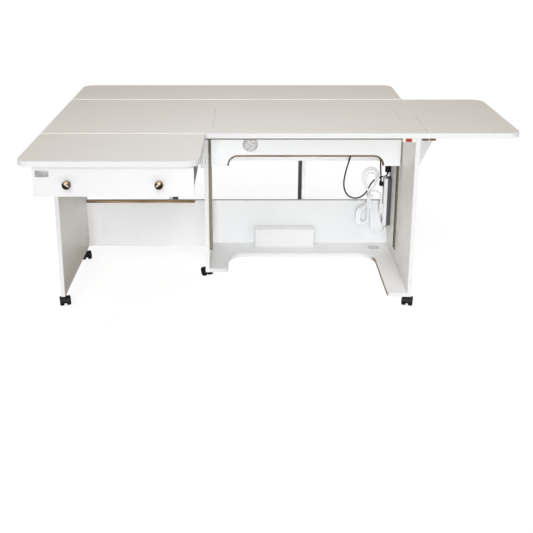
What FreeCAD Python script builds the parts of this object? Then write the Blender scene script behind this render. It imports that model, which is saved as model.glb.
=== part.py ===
import FreeCAD, Part
import math
import os

import Sketcher

# Sewing cabinet opened out: a main top with a lift, three fold-over leaves, a drawer pulled out
# under the front leaf, swing-out supports and casters. Millimetres, +X right, +Y to the rear, +Z up,
# origin on the floor under the middle of the whole outline.

SIZES = {
    "table_height": 780.0,
    "top_thickness": 22.0,
    "board_thickness": 18.0,
    "edge_arris": 1.8,
    "corner_radius": 55.0,
    "joint_gap": 2.2,
    "main_width": 1598.0,
    "main_depth": 690.0,
    "right_leaf_width": 381.0,
    "rear_leaf_depth": 372.0,
    "front_leaf_width": 678.0,
    "front_leaf_depth": 432.0,
    "panel_foot": 47.0,
    "panel_setback": 5.0,
    "left_overhang": 38.0,
    "right_overhang": 33.0,
    "rear_overhang": 42.0,
    "drawer_bay_width": 600.5,
    "middle_setback": 285.0,
    "arm_height": 129.0,
    "modesty_top": 287.0,
    "rear_rail_height": 268.0,
    "batten_size": 10.0,
    "batten_end_gap": 66.0,
    "shelf_thickness": 18.0,
    "shelf_foot_width": 86.0,
    "shelf_reach": 152.0,
    "shelf_curve": 80.0,
    "shelf_foot_round": 20.0,
    "supply_width": 291.0,
    "supply_depth": 54.0,
    "supply_height": 90.0,
    "supply_offset": 213.0,
    "grommet_radius": 27.0,
    "grommet_lip": 2.0,
    "grommet_wall": 2.5,
    "grommet_offset": 75.0,
    "grommet_setback": 69.0,
    "lift_left_margin": 30.0,
    "lift_right_margin": 27.0,
    "lift_front": 106.0,
    "lift_depth": 389.0,
    "lift_gap": 1.5,
    "apron_setback": 316.0,
    "apron_height": 206.0,
    "apron_arch": 45.0,
    "apron_foot": 77.5,
    "apron_left_gap": 13.0,
    "apron_right_gap": 7.0,
    "apron_curve": 42.0,
    "badge_radius": 33.0,
    "badge_thickness": 2.5,
    "badge_offset": 189.0,
    "badge_drop": 106.0,
    "rail_width": 40.0,
    "rail_depth": 12.5,
    "rail_wall": 2.0,
    "rail_lip": 9.0,
    "rail_foot": 138.0,
    "rail_top_gap": 13.0,
    "slide_gap": 0.5,
    "runner_height": 45.0,
    "runner_depth": 12.0,
    "runner_wall": 1.5,
    "runner_lip": 9.0,
    "drawer_pull": 422.0,
    "drawer_front_height": 113.0,
    "drawer_gap": 2.0,
    "drawer_top_gap": 4.0,
    "drawer_depth": 520.0,
    "drawer_wall_height": 86.0,
    "drawer_wall": 12.0,
    "drawer_bottom": 6.0,
    "knob_radius": 16.5,
    "knob_length": 28.0,
    "knob_spacing": 340.0,
    "knuckle_radius": 1.5,
    "hinge_pin_radius": 0.75,
    "hinge_sheet": 0.8,
    "hinge_rise": 0.3,
    "knuckle_gap": 0.3,
    "hinge_sheet_gap": 0.4,
    "pin_gap": 0.25,
    "fit_clearance": 0.05,
    "gate_length": 333.0,
    "gate_offset": 328.0,
    "gate_foot": 60.0,
    "glide_radius": 14.0,
    "glide_height": 8.0,
    "leaf_rest_gap": 0.5,
    "bracket_width": 154.0,
    "bracket_height": 316.0,
    "bracket_nose": 15.0,
    "bracket_thickness": 16.0,
    "swing_knuckle": 4.0,
    "swing_pin": 2.0,
    "swing_sheet": 1.5,
    "swing_plate": 60.0,
    "swing_gap": 1.0,
    "wheel_radius": 20.5,
    "wheel_width": 16.0,
    "caster_web": 12.0,
    "caster_trail": 15.0,
    "caster_stem": 4.0,
    "caster_inset": 34.0,
    "caster_rear_inset": 46.0,
    "caster_gap": 0.5,
    "fender_gap": 0.5,
    "fender_wall": 1.6,
    "switch_width": 54.0,
    "switch_depth": 26.0,
    "switch_height": 16.0,
    "switch_gap": 1.0,
    "switch_wall": 2.0,
    "rocker_radius": 10.5,
    "duct_size": 8.0,
    "duct_to_box": 30.0,
    "control_width": 150.0,
    "control_depth": 84.0,
    "control_height": 45.0,
    "control_setback": 16.0,
    "strip_width": 50.0,
    "strip_depth": 37.0,
    "strip_setback": 26.0,
    "strip_length": 237.0,
    "strip_foot": 182.0,
    "socket_radius": 19.0,
    "socket_depth": 9.0,
    "socket_spacing": 62.0,
    "plug_gap": 1.0,
    "connector_width": 26.0,
    "connector_depth": 22.0,
    "connector_height": 45.0,
    "connector_round": 4.0,
    "connector_offset": 8.0,
    "connector_rise": 20.0,
    "lead_diameter": 7.0,
    "cable_diameter": 7.2,
    "hank_top_radius": 26.0,
    "hank_top_spread": 6.5,
    "hank_bottom_radius": 21.5,
    "hank_bottom_spread": 3.4,
    "hank_top_rise": 97.0,
    "hank_bottom_drop": 125.0,
    "hank_lean": 30.0,
    "hank_pitch": 7.8,
    "hank_loops": 3.0,
    "hank_offset": 106.0,
    "hank_setback": 12.0,
    "hank_rise": 150.0,
    "strand_gap": 0.6,
    "tie_wall": 1.5,
    "tie_gap": 0.2,
    "tie_height": 8.0,
}

doc = FreeCAD.newDocument("SewingCabinet")
sheet = doc.addObject("Spreadsheet::Sheet", "Dimensions")
for row, (name, number) in enumerate(SIZES.items(), start=1):
    sheet.set(f"A{row}", name)
    sheet.set(f"B{row}", str(number))
    sheet.setAlias(f"B{row}", name)
doc.recompute()


class Size:
    """A length of the model: its formula over the sheet's cells and its present value."""

    def __init__(self, formula, value):
        self.formula = formula
        self.value = value

    def __add__(self, other):
        other = as_size(other)
        return Size(f"({self.formula} + {other.formula})", self.value + other.value)

    def __sub__(self, other):
        other = as_size(other)
        return Size(f"({self.formula} - {other.formula})", self.value - other.value)

    def __mul__(self, factor):
        return Size(f"({self.formula} * {factor})", self.value * factor)

    def __truediv__(self, parts):
        return Size(f"({self.formula} / {parts})", self.value / parts)

    def __neg__(self):
        return Size(f"(0 - {self.formula})", -self.value)


def as_size(length):
    return length if isinstance(length, Size) else Size(f"({float(length)})", float(length))


class Driving:
    """The sheet's cells as named sizes."""

    def __init__(self, names):
        for name in names:
            setattr(self, name, Size(f"Dimensions.{name}", float(sheet.get(name))))


dim = Driving(SIZES)
nodes = {}


def bind(item, prop, length):
    item.setExpression(prop, as_size(length).formula)


def put(item, at, turn=None):
    """Place an item, its position bound to the sheet and its turn given as (axis, degrees)."""
    if turn:
        axis, degrees = turn
        rotation = FreeCAD.Rotation(FreeCAD.Vector(*axis), degrees)
        item.Placement = FreeCAD.Placement(FreeCAD.Vector(), rotation)
    for letter, length in zip("xyz", at):
        bind(item, f"Placement.Base.{letter}", length)
    return item


def node(name, item):
    item.Label = name
    nodes[name] = item
    return item


def box(size, at, turn=None):
    item = doc.addObject("Part::Box", "Box")
    for prop, length in zip(("Length", "Width", "Height"), size):
        bind(item, prop, length)
    return put(item, at, turn)


ALONG_X = ((0, 1, 0), 90)
ALONG_Y = ((1, 0, 0), -90)


def rod(radius, length, at, turn=None):
    item = doc.addObject("Part::Cylinder", "Rod")
    bind(item, "Radius", radius)
    bind(item, "Height", length)
    return put(item, at, turn)


def fuse(items):
    item = doc.addObject("Part::MultiFuse", "Joined")
    item.Shapes = items
    item.Refine = True
    return item


def cut(base, tools):
    item = doc.addObject("Part::Cut", "Cut")
    item.Base = base
    item.Tool = tools[0] if len(tools) == 1 else fuse(tools)
    return item


def common(first, second):
    item = doc.addObject("Part::MultiCommon", "Common")
    item.Shapes = [first, second]
    return item


def group(items):
    item = doc.addObject("Part::Compound", "Group")
    item.Links = items
    return item


def polygon(body, corners, role="XY_Plane"):
    """A sketch of straight lines through corners, each corner measured from the sketch's origin."""
    sketch = body.newObject("Sketcher::SketchObject", "Outline")
    plane = [feature for feature in body.Origin.OriginFeatures if feature.Role == role][0]
    sketch.AttachmentSupport = (plane, [""])
    sketch.MapMode = "FlatFace"
    sizes = [(as_size(x), as_size(y)) for x, y in corners]
    spots = [FreeCAD.Vector(x.value, y.value, 0) for x, y in sizes]
    count = len(spots)
    for i in range(count):
        sketch.addGeometry(Part.LineSegment(spots[i], spots[(i + 1) % count]), False)
    for i in range(count):
        sketch.addConstraint(Sketcher.Constraint("Coincident", i, 2, (i + 1) % count, 1))
    for i, pair in enumerate(sizes):
        for kind, axis, length in zip(("DistanceX", "DistanceY"), (-2, -1), pair):
            if length.value == 0:
                sketch.addConstraint(Sketcher.Constraint("PointOnObject", i, 1, axis))
            else:
                index = sketch.addConstraint(Sketcher.Constraint(kind, -1, 1, i, 1, length.value))
                sketch.setExpression(f"Constraints[{index}]", length.formula)
    return sketch


def pad(body, sketch, length):
    item = body.newObject("PartDesign::Pad", "Pad")
    item.Profile = sketch
    bind(item, "Length", length)
    doc.recompute()
    return item


def dress(body, kind, base, prop, length, keep):
    """A fillet or chamfer on the edges of base that keep picks."""
    item = body.newObject(f"PartDesign::{kind}", kind)
    names = [f"Edge{i}" for i, edge in enumerate(base.Shape.Edges, start=1) if keep(edge)]
    item.Base = (base, names)
    bind(item, prop, length)
    doc.recompute()
    return item


def upright_at(corners):
    """Picks the upright edges of a pad that stand on the given corners."""
    spots = [(as_size(x).value, as_size(y).value) for x, y in corners]

    def keep(edge):
        ends = [vertex.Point for vertex in edge.Vertexes]
        if len(ends) != 2 or abs(ends[0].z - ends[1].z) < 1:
            return False
        return any(math.hypot(ends[0].x - x, ends[0].y - y) < 0.01 for x, y in spots)

    return keep


def prism(corners, height, at, turn=None, rounds=()):
    """A pad of a polygon, with rounds as pairs of the numbers of its corners and their radius."""
    body = doc.addObject("PartDesign::Body", "Body")
    feature = pad(body, polygon(body, corners), height)
    for numbers, radius in rounds:
        picked = upright_at([corners[i] for i in numbers])
        feature = dress(body, "Fillet", feature, "Radius", radius, picked)
    body.Tip = feature
    return put(body, at, turn)


def top_board(width, depth, at, round_at=()):
    """A table board with rounded corners and an arris round its upper face."""
    corners = [(0, 0), (width, 0), (width, depth), (0, depth)]
    body = doc.addObject("PartDesign::Body", "Board")
    feature = pad(body, polygon(body, corners), dim.top_thickness)
    if round_at:
        picked = upright_at([corners[i] for i in round_at])
        feature = dress(body, "Fillet", feature, "Radius", dim.corner_radius, picked)
    level = dim.top_thickness.value

    def on_top(edge):
        return all(abs(vertex.Point.z - level) < 0.01 for vertex in edge.Vertexes)

    feature = dress(body, "Chamfer", feature, "Size", dim.edge_arris, on_top)
    body.Tip = feature
    return put(body, at)


# Main lines of the plan and of the height
under_top = dim.table_height - dim.top_thickness
total_width = dim.main_width + dim.joint_gap + dim.right_leaf_width
front_reach = dim.drawer_pull - dim.drawer_gap + dim.knob_length
total_depth = front_reach + dim.main_depth + dim.joint_gap + dim.rear_leaf_depth
main_left = -total_width / 2
main_right = main_left + dim.main_width
main_front = -total_depth / 2 + front_reach
main_rear = main_front + dim.main_depth
back_rear = main_rear - dim.rear_overhang
back_front = back_rear - dim.board_thickness
panel_front = main_front + dim.panel_setback
left_inner = main_left + dim.left_overhang + dim.board_thickness
middle_left = left_inner + dim.drawer_bay_width
middle_right = middle_left + dim.board_thickness
right_inner = main_right - dim.right_overhang - dim.board_thickness
right_outer = main_right - dim.right_overhang
bay_width = right_inner - middle_right
panel_depth = back_rear - panel_front
panel_height = under_top - dim.panel_foot

# Table boards
platform_left = middle_right + dim.lift_left_margin
platform_width = bay_width - dim.lift_left_margin - dim.lift_right_margin
platform_front = main_front + dim.lift_front
opening = box(
    (platform_width + dim.lift_gap * 2, dim.lift_depth + dim.lift_gap * 2, dim.top_thickness * 3),
    (platform_left - dim.lift_gap, platform_front - dim.lift_gap, under_top - dim.top_thickness),
)
main_board = top_board(dim.main_width, dim.main_depth, (main_left, main_front, under_top))
node("main_top", cut(main_board, [opening]))
front_leaf_front = main_front - dim.joint_gap - dim.front_leaf_depth
node("front_leaf", top_board(dim.front_leaf_width, dim.front_leaf_depth,
                             (main_left, front_leaf_front, under_top), round_at=(0, 1)))
node("right_leaf", top_board(dim.right_leaf_width, dim.main_depth,
                             (main_right + dim.joint_gap, main_front, under_top), round_at=(1, 2)))
node("rear_leaf", top_board(dim.main_width, dim.rear_leaf_depth,
                            (main_left, main_rear + dim.joint_gap, under_top), round_at=(2, 3)))
node("lift_platform", box((platform_width, dim.lift_depth, dim.top_thickness),
                          (platform_left, platform_front, under_top)))

# Casters stand under the front and rear ends of the three upright panels, each turned a little differently
panel_middle = {
    "left": left_inner - dim.board_thickness / 2,
    "middle": middle_left + dim.board_thickness / 2,
    "right": right_inner + dim.board_thickness / 2,
}
caster_front = {
    "left": panel_front + dim.caster_inset,
    "middle": main_front + dim.middle_setback + dim.caster_inset * 2,
    "right": panel_front + dim.caster_inset,
}
caster_rear = back_front - dim.caster_rear_inset
CASTERS = {
    "left_front": ("left", caster_front["left"], -72),
    "left_rear": ("left", caster_rear, -72),
    "middle_front": ("middle", caster_front["middle"], 118),
    "middle_rear": ("middle", caster_rear, 70),
    "right_front": ("right", caster_front["right"], -108),
    "right_rear": ("right", caster_rear, 200),
}
stem_length = dim.caster_stem * 6


def stem_bores(side):
    """The blind bores in a panel's lower edge for its caster stems."""
    spots = [spot for place, spot, angle in CASTERS.values() if place == side]
    radius = dim.caster_stem + dim.fit_clearance
    depth = stem_length + dim.caster_gap
    return [rod(radius, depth, (panel_middle[side], y, dim.panel_foot)) for y in spots]


# Upright panels, rails and shelf
panel_size = (dim.board_thickness, panel_depth, panel_height)
left_board = box(panel_size, (left_inner - dim.board_thickness, panel_front, dim.panel_foot))
node("left_panel", cut(left_board, stem_bores("left")))
right_board = box(panel_size, (right_inner, panel_front, dim.panel_foot))
node("right_panel", cut(right_board, stem_bores("right")))
lower_step = dim.middle_setback - dim.panel_setback
middle_depth = back_front - panel_front
arm_foot = panel_height - dim.arm_height
middle_board = prism(
    [(lower_step, 0), (middle_depth, 0), (middle_depth, panel_height), (0, panel_height), (0, arm_foot),
     (lower_step, arm_foot)],
    dim.board_thickness,
    (middle_left, panel_front, dim.panel_foot),
    turn=((1, 1, 1), 120),
    rounds=[((5,), dim.shelf_curve / 2)],
)
node("middle_panel", cut(middle_board, stem_bores("middle")))
back_width = right_inner - left_inner
node("rear_rail", box((back_width, dim.board_thickness, dim.rear_rail_height),
                      (left_inner, back_front, under_top - dim.rear_rail_height)))
node("modesty_panel", box((back_width, dim.board_thickness, dim.modesty_top - dim.panel_foot),
                          (left_inner, back_front, dim.panel_foot)))
node("rear_batten", box((dim.drawer_bay_width - dim.batten_end_gap, dim.batten_size, dim.batten_size),
                        (left_inner, back_front - dim.batten_size, dim.modesty_top - dim.batten_size)))
shelf_rear = back_front - panel_front
shelf_edge = shelf_rear - dim.shelf_reach
shelf_right = bay_width - dim.shelf_foot_width
shelf_board = prism(
    [(0, lower_step), (dim.shelf_foot_width, lower_step), (dim.shelf_foot_width, shelf_edge),
     (shelf_right, shelf_edge), (shelf_right, 0), (bay_width, 0), (bay_width, shelf_rear), (0, shelf_rear)],
    dim.shelf_thickness,
    (middle_right, panel_front, dim.panel_foot),
    rounds=[((2, 3), dim.shelf_curve), ((1, 4), dim.shelf_foot_round)],
)
grommet_x = right_inner - dim.grommet_offset
grommet_y = back_front - dim.grommet_setback
shelf_top = dim.panel_foot + dim.shelf_thickness
sleeve_radius = dim.grommet_radius - dim.grommet_lip
shelf_hole = rod(sleeve_radius, dim.shelf_thickness * 2,
                 (grommet_x, grommet_y, dim.panel_foot - dim.shelf_thickness / 2))
node("shelf", cut(shelf_board, [shelf_hole]))
flange = rod(dim.grommet_radius, dim.grommet_wall, (grommet_x, grommet_y, shelf_top))
sleeve = rod(sleeve_radius, dim.shelf_thickness, (grommet_x, grommet_y, dim.panel_foot))
way_through = rod(sleeve_radius - dim.grommet_wall, dim.shelf_thickness * 3,
                  (grommet_x, grommet_y, dim.panel_foot - dim.shelf_thickness))
node("cable_grommet", cut(fuse([flange, sleeve]), [way_through]))
supply_size = [(0, 0), (dim.supply_width, 0), (dim.supply_width, dim.supply_depth), (0, dim.supply_depth)]
node("supply_box", prism(supply_size, dim.supply_height,
                         (middle_right + dim.supply_offset, back_front - dim.supply_depth, shelf_top),
                         rounds=[((0, 1), dim.batten_size / 3)]))


def channel(width, depth, wall, lip, length, at, turn=None):
    """A rail of C section, open towards its local +X, its back on the local Y axis."""
    return prism(
        [(0, 0), (depth, 0), (depth, lip), (depth - wall, lip), (depth - wall, wall), (wall, wall),
         (wall, width - wall), (depth - wall, width - wall), (depth - wall, width - lip),
         (depth, width - lip), (depth, width), (0, width)],
        length, at, turn)


# Lift: rails on the panels, guide shoes, arched apron and a plain disc
rail_length = under_top - dim.rail_top_gap - dim.rail_foot
apron_rear = main_front + dim.apron_setback + dim.board_thickness
rail_front = apron_rear + dim.slide_gap * 2
rail_section = (dim.rail_width, dim.rail_depth, dim.rail_wall, dim.rail_lip, rail_length)
node("lift_rails", group([
    channel(*rail_section, (middle_right, rail_front, dim.rail_foot)),
    channel(*rail_section, (right_inner, rail_front + dim.rail_width, dim.rail_foot), ((0, 0, 1), 180)),
]))
apron_left = middle_right + dim.apron_left_gap
apron_width = bay_width - dim.apron_left_gap - dim.apron_right_gap
apron_top = under_top
apron_foot_level = apron_top - dim.apron_height
arch_right = apron_width - dim.apron_foot
notch = dim.rail_depth - dim.slide_gap * 2
shoulder = dim.apron_height - dim.rail_top_gap
apron = prism(
    [(0, 0), (dim.apron_foot, 0), (dim.apron_foot, dim.apron_arch), (arch_right, dim.apron_arch),
     (arch_right, 0), (apron_width, 0), (apron_width, shoulder), (apron_width - notch, shoulder),
     (apron_width - notch, dim.apron_height - dim.slide_gap), (0, dim.apron_height - dim.slide_gap)],
    dim.board_thickness,
    (apron_left, apron_rear, apron_foot_level),
    turn=((1, 0, 0), 90),
    rounds=[((2, 3), dim.apron_curve)],
)
apron_cap_width = platform_width - dim.apron_foot
cap_height = dim.slide_gap * 2
apron_cap = box((apron_cap_width, dim.board_thickness, cap_height),
                (platform_left + dim.apron_foot / 2, main_front + dim.apron_setback, apron_top - cap_height))
node("lift_apron", fuse([apron, apron_cap]))
shoe_height = dim.apron_height / 2
shoe_foot = apron_foot_level + dim.apron_arch
head_depth = dim.rail_depth - dim.rail_wall * 2 - dim.slide_gap * 2
head_width = dim.rail_width - dim.rail_wall * 2 - dim.slide_gap * 2
neck_width = dim.rail_width - dim.rail_lip * 2 - dim.slide_gap * 2
head_front = rail_front + dim.rail_wall + dim.slide_gap
neck_front = rail_front + dim.rail_lip + dim.slide_gap
head_offset = dim.rail_wall + dim.slide_gap
neck_offset = head_offset + head_depth
neck_depth = dim.rail_depth + dim.slide_gap * 2 - neck_offset


def shoe(face, side):
    """A guide shoe: a head in the rail, a neck through its slot and a block on the apron's rear."""
    near = face + head_offset if side > 0 else face - head_offset - head_depth
    out = face + neck_offset if side > 0 else face - neck_offset - neck_depth
    inner = out + neck_depth if side > 0 else out - dim.rail_depth
    head = box((head_depth, head_width, shoe_height), (near, head_front, shoe_foot))
    neck = box((neck_depth, neck_width, shoe_height), (out, neck_front, shoe_foot))
    reach = neck_front + neck_width - apron_rear
    joint = box((dim.rail_depth, reach, shoe_height), (inner, apron_rear, shoe_foot))
    return fuse([head, neck, joint])


node("lift_shoes", group([shoe(middle_right, 1), shoe(right_inner, -1)]))
badge_back = main_front + dim.apron_setback
node("lift_badge", rod(dim.badge_radius, dim.badge_thickness,
                       (middle_right + dim.badge_offset, badge_back - dim.badge_thickness,
                        under_top - dim.badge_drop), ALONG_Y))

# Drawer, pulled out under the front leaf
drawer_face = main_front + dim.drawer_gap - dim.drawer_pull
front_foot = under_top - dim.drawer_top_gap - dim.drawer_front_height
front_size = (dim.drawer_bay_width - dim.drawer_gap * 2, dim.board_thickness, dim.drawer_front_height)
node("drawer_front", box(front_size, (left_inner + dim.drawer_gap, drawer_face, front_foot)))
wall_offset = dim.runner_depth + dim.slide_gap * 2
wall_front = drawer_face + dim.board_thickness
wall_foot = front_foot + (dim.drawer_front_height - dim.drawer_wall_height) / 2
tray_left = left_inner + wall_offset
tray_width = dim.drawer_bay_width - wall_offset * 2
inner_width = tray_width - dim.drawer_wall * 2
side_size = (dim.drawer_wall, dim.drawer_depth, dim.drawer_wall_height)
node("drawer_walls", group([
    box(side_size, (tray_left, wall_front, wall_foot)),
    box(side_size, (tray_left + tray_width - dim.drawer_wall, wall_front, wall_foot)),
    box((inner_width, dim.drawer_wall, dim.drawer_wall_height),
        (tray_left + dim.drawer_wall, wall_front + dim.drawer_depth - dim.drawer_wall, wall_foot)),
]))
node("drawer_bottom", box((inner_width, dim.drawer_depth - dim.drawer_wall, dim.drawer_bottom),
                          (tray_left + dim.drawer_wall, wall_front, wall_foot)))
runner_foot = wall_foot + (dim.drawer_wall_height - dim.runner_height) / 2
channel_rear = back_front - dim.rear_overhang
channel_length = channel_rear - main_front - dim.board_thickness - dim.drawer_gap * 2
drawer_channel = (dim.runner_height, dim.runner_depth, dim.runner_wall, dim.runner_lip, channel_length)
node("drawer_rails", group([
    channel(*drawer_channel, (left_inner, channel_rear, runner_foot), ((1, 0, 0), 90)),
    channel(*drawer_channel, (middle_left, channel_rear - channel_length, runner_foot), ((0, 1, 1), 180)),
]))
bar_depth = dim.runner_depth - dim.runner_wall * 2 - dim.slide_gap * 2
bar_height = dim.runner_height - dim.runner_wall * 2 - dim.slide_gap * 2
bar_offset = dim.runner_wall + dim.slide_gap
bar_length = dim.drawer_depth - dim.drawer_gap
slot_height = dim.runner_height - dim.runner_lip * 2 - dim.slide_gap * 2
slot_depth = wall_offset - bar_offset - bar_depth


def runner(face, side):
    """A drawer runner: a bar inside the rail and a rib out through its slot to the drawer wall."""
    near = face + bar_offset if side > 0 else face - bar_offset - bar_depth
    out = face + wall_offset - slot_depth if side > 0 else face - wall_offset
    bar = box((bar_depth, bar_length, bar_height), (near, wall_front, runner_foot + bar_offset))
    rib = box((slot_depth, bar_length, slot_height),
              (out, wall_front, runner_foot + dim.runner_lip + dim.slide_gap))
    return fuse([bar, rib])


node("drawer_runners", group([runner(left_inner, 1), runner(middle_left, -1)]))


def knob(x):
    """A turned knob: a neck that widens to a domed head, pointing to the front."""
    body = doc.addObject("PartDesign::Body", "Knob")
    radius, length = dim.knob_radius, dim.knob_length
    neck = [(0, 0), (radius * 0.55, 0), (radius * 0.4, length * 0.4)]
    head = [(radius * 0.8, length * 0.6), (radius, length * 0.72), (radius * 0.92, length * 0.9),
            (radius * 0.5, length), (0, length)]
    profile = polygon(body, neck + head, "XZ_Plane")
    turned = body.newObject("PartDesign::Revolution", "Turned")
    turned.Profile = profile
    turned.ReferenceAxis = (profile, ["V_Axis"])
    turned.Angle = 360
    doc.recompute()
    body.Tip = turned
    centre = front_foot + dim.drawer_front_height * 0.44
    return put(body, (x, drawer_face, centre), ((1, 0, 0), 90))


bay_middle = left_inner + dim.drawer_bay_width / 2
node("drawer_knobs", group([knob(bay_middle + dim.knob_spacing / 2 * side) for side in (-1, 1)]))

# Continuous hinges of the three leaves: the axis lies just above the table, in the middle of each joint
axis_level = dim.table_height + dim.hinge_rise
hinge_plate_height = dim.top_thickness - dim.edge_arris * 2


def leaf_hinge_half(length, segments, first, side):
    """One half of a leaf hinge along local X: side -1 is the fixed half with the pin, +1 the leaf's half."""
    half_gap = dim.joint_gap / 2
    sheet_y = half_gap - dim.hinge_sheet if side > 0 else -half_gap
    plate_top = -dim.knuckle_radius - dim.hinge_sheet_gap
    tab_top = -dim.hinge_pin_radius - dim.pin_gap
    plate = box((length, dim.hinge_sheet, hinge_plate_height), (0, sheet_y, plate_top - hinge_plate_height))
    segment = length / segments
    pieces = [plate]
    for i in range(first, segments, 2):
        start = segment * i + dim.knuckle_gap
        span = segment - dim.knuckle_gap * 2
        pieces.append(rod(dim.knuckle_radius, span, (start, 0, 0), ALONG_X))
        pieces.append(box((span, dim.hinge_sheet, tab_top - plate_top), (start, sheet_y, plate_top)))
    if side < 0:
        return fuse(pieces + [rod(dim.hinge_pin_radius, length, (0, 0, 0), ALONG_X)])
    bore = rod(dim.hinge_pin_radius + dim.fit_clearance, length, (0, 0, 0), ALONG_X)
    return cut(fuse(pieces), [bore])


def turned_copy(item, at, turn=None):
    """An item made at the origin, moved as a whole."""
    holder = doc.addObject("Part::Compound", "Moved")
    holder.Links = [item]
    return put(holder, at, turn)


half_joint = dim.joint_gap / 2
front_axis_start = (main_left + dim.front_leaf_width, main_front - half_joint, axis_level)
right_axis_start = (main_right + half_joint, main_rear, axis_level)
rear_axis_start = (main_left, main_rear + half_joint, axis_level)
HINGES = {
    "front_leaf": (dim.front_leaf_width, 9, front_axis_start, ((0, 0, 1), 180)),
    "right_leaf": (dim.main_depth, 9, right_axis_start, ((0, 0, 1), -90)),
    "rear_leaf": (dim.main_width, 13, rear_axis_start, None),
}
fixed_halves = []
for leaf, (length, segments, at, turn) in HINGES.items():
    fixed_halves.append(turned_copy(leaf_hinge_half(length, segments, 0, -1), at, turn))
    node(f"{leaf}_hinge", turned_copy(leaf_hinge_half(length, segments, 1, 1), at, turn))
node("leaf_hinge_plates", group(fixed_halves))

# Swing hinges: a fixed plate with two knuckles and the pin, and a swinging plate with the knuckle between
knuckle_span = dim.swing_plate / 3
knuckle_stand = dim.swing_knuckle + dim.swing_gap


def swing_hinge(part):
    """A small hinge on an upright axis at the origin: fixed plate along +X, swinging plate along +Y."""
    start = -dim.swing_plate / 2
    plate_width = dim.swing_plate / 2
    if part == "fixed":
        plate = box((plate_width, dim.swing_sheet, dim.swing_plate), (knuckle_stand, -knuckle_stand, start))
        clear = box((dim.swing_plate, dim.swing_plate, knuckle_span + dim.swing_gap),
                    (-dim.swing_plate / 2, -dim.swing_plate / 2, start + knuckle_span - dim.swing_gap / 2))
        ends = rod(dim.swing_knuckle, dim.swing_plate, (0, 0, start))
        link = box((knuckle_stand * 1.5, knuckle_stand, dim.swing_plate), (0, -knuckle_stand, start))
        pin = rod(dim.swing_pin, dim.swing_plate, (0, 0, start))
        return fuse([plate, cut(fuse([ends, link]), [clear]), pin])
    level = start + knuckle_span
    plate = box((dim.swing_sheet, plate_width, knuckle_span), (-knuckle_stand, 0, level))
    link = box((knuckle_stand, dim.swing_knuckle, knuckle_span), (-knuckle_stand, 0, level))
    barrel = rod(dim.swing_knuckle, knuckle_span, (0, 0, level))
    bore = rod(dim.swing_pin + dim.fit_clearance, dim.swing_plate, (0, 0, start))
    return cut(fuse([plate, link, barrel]), [bore])


def swing_pair(part, at, levels, mirrored=False, turn=None):
    """One hinge part at two levels of an upright axis, mirrored for a support that folds to the left."""
    pieces = []
    for level in levels:
        item = swing_hinge(part)
        if mirrored:
            mirror = doc.addObject("Part::Mirroring", "Mirrored")
            mirror.Source = item
            mirror.Normal = (1, 0, 0)
            item = mirror
        pieces.append(turned_copy(item, (at[0], at[1], level), turn))
    return pieces


# Gates under the rear leaf: they fold outwards against the back, under the main top's overhang
support_top = under_top - dim.leaf_rest_gap
gate_height = support_top - dim.gate_foot
main_middle = main_left + dim.main_width / 2
gate_levels = (dim.modesty_top - dim.swing_plate, under_top - dim.rear_rail_height + dim.swing_plate)
gate_axis_y = back_rear + knuckle_stand
fixed_plates = []
for side, sign in (("left", -1), ("right", 1)):
    centre = main_middle + dim.gate_offset * sign
    axis_x = centre + (dim.board_thickness / 2 + knuckle_stand) * sign
    node(f"gate_{side}", box((dim.board_thickness, dim.gate_length, gate_height),
                             (centre - dim.board_thickness / 2, back_rear + dim.swing_gap, dim.gate_foot)))
    fixed_plates += swing_pair("fixed", (axis_x, gate_axis_y), gate_levels, sign < 0)
    glide_y = back_rear + dim.gate_length - dim.glide_radius
    glide = fuse([rod(dim.glide_radius, dim.glide_height, (centre, glide_y, 0)),
                  rod(dim.glide_radius / 3, dim.gate_foot, (centre, glide_y, 0))])
    leaves = swing_pair("swinging", (axis_x, gate_axis_y), gate_levels, sign < 0)
    node(f"gate_{side}_fittings", group(leaves + [glide]))

# Triangular bracket under the right leaf: it folds to the rear against the right panel
bracket_y = main_front + dim.main_depth / 2
bracket_foot = support_top - dim.bracket_height
bracket_rear = bracket_y + dim.bracket_thickness / 2
node("side_bracket", prism(
    [(0, 0), (dim.bracket_nose, 0), (dim.bracket_width, dim.bracket_height - dim.bracket_nose),
     (dim.bracket_width, dim.bracket_height), (0, dim.bracket_height)],
    dim.bracket_thickness, (right_outer + dim.swing_gap, bracket_rear, bracket_foot),
    turn=((1, 0, 0), 90)))
bracket_axis = (right_outer + knuckle_stand, bracket_rear + knuckle_stand)
bracket_levels = (bracket_foot + dim.swing_plate, support_top - dim.swing_plate)
fixed_plates += swing_pair("fixed", bracket_axis, bracket_levels, True, ((0, 0, 1), -90))
node("side_bracket_hinge",
     group(swing_pair("swinging", bracket_axis, bracket_levels, True, ((0, 0, 1), -90))))
node("swing_hinge_plates", group(fixed_plates))


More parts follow.
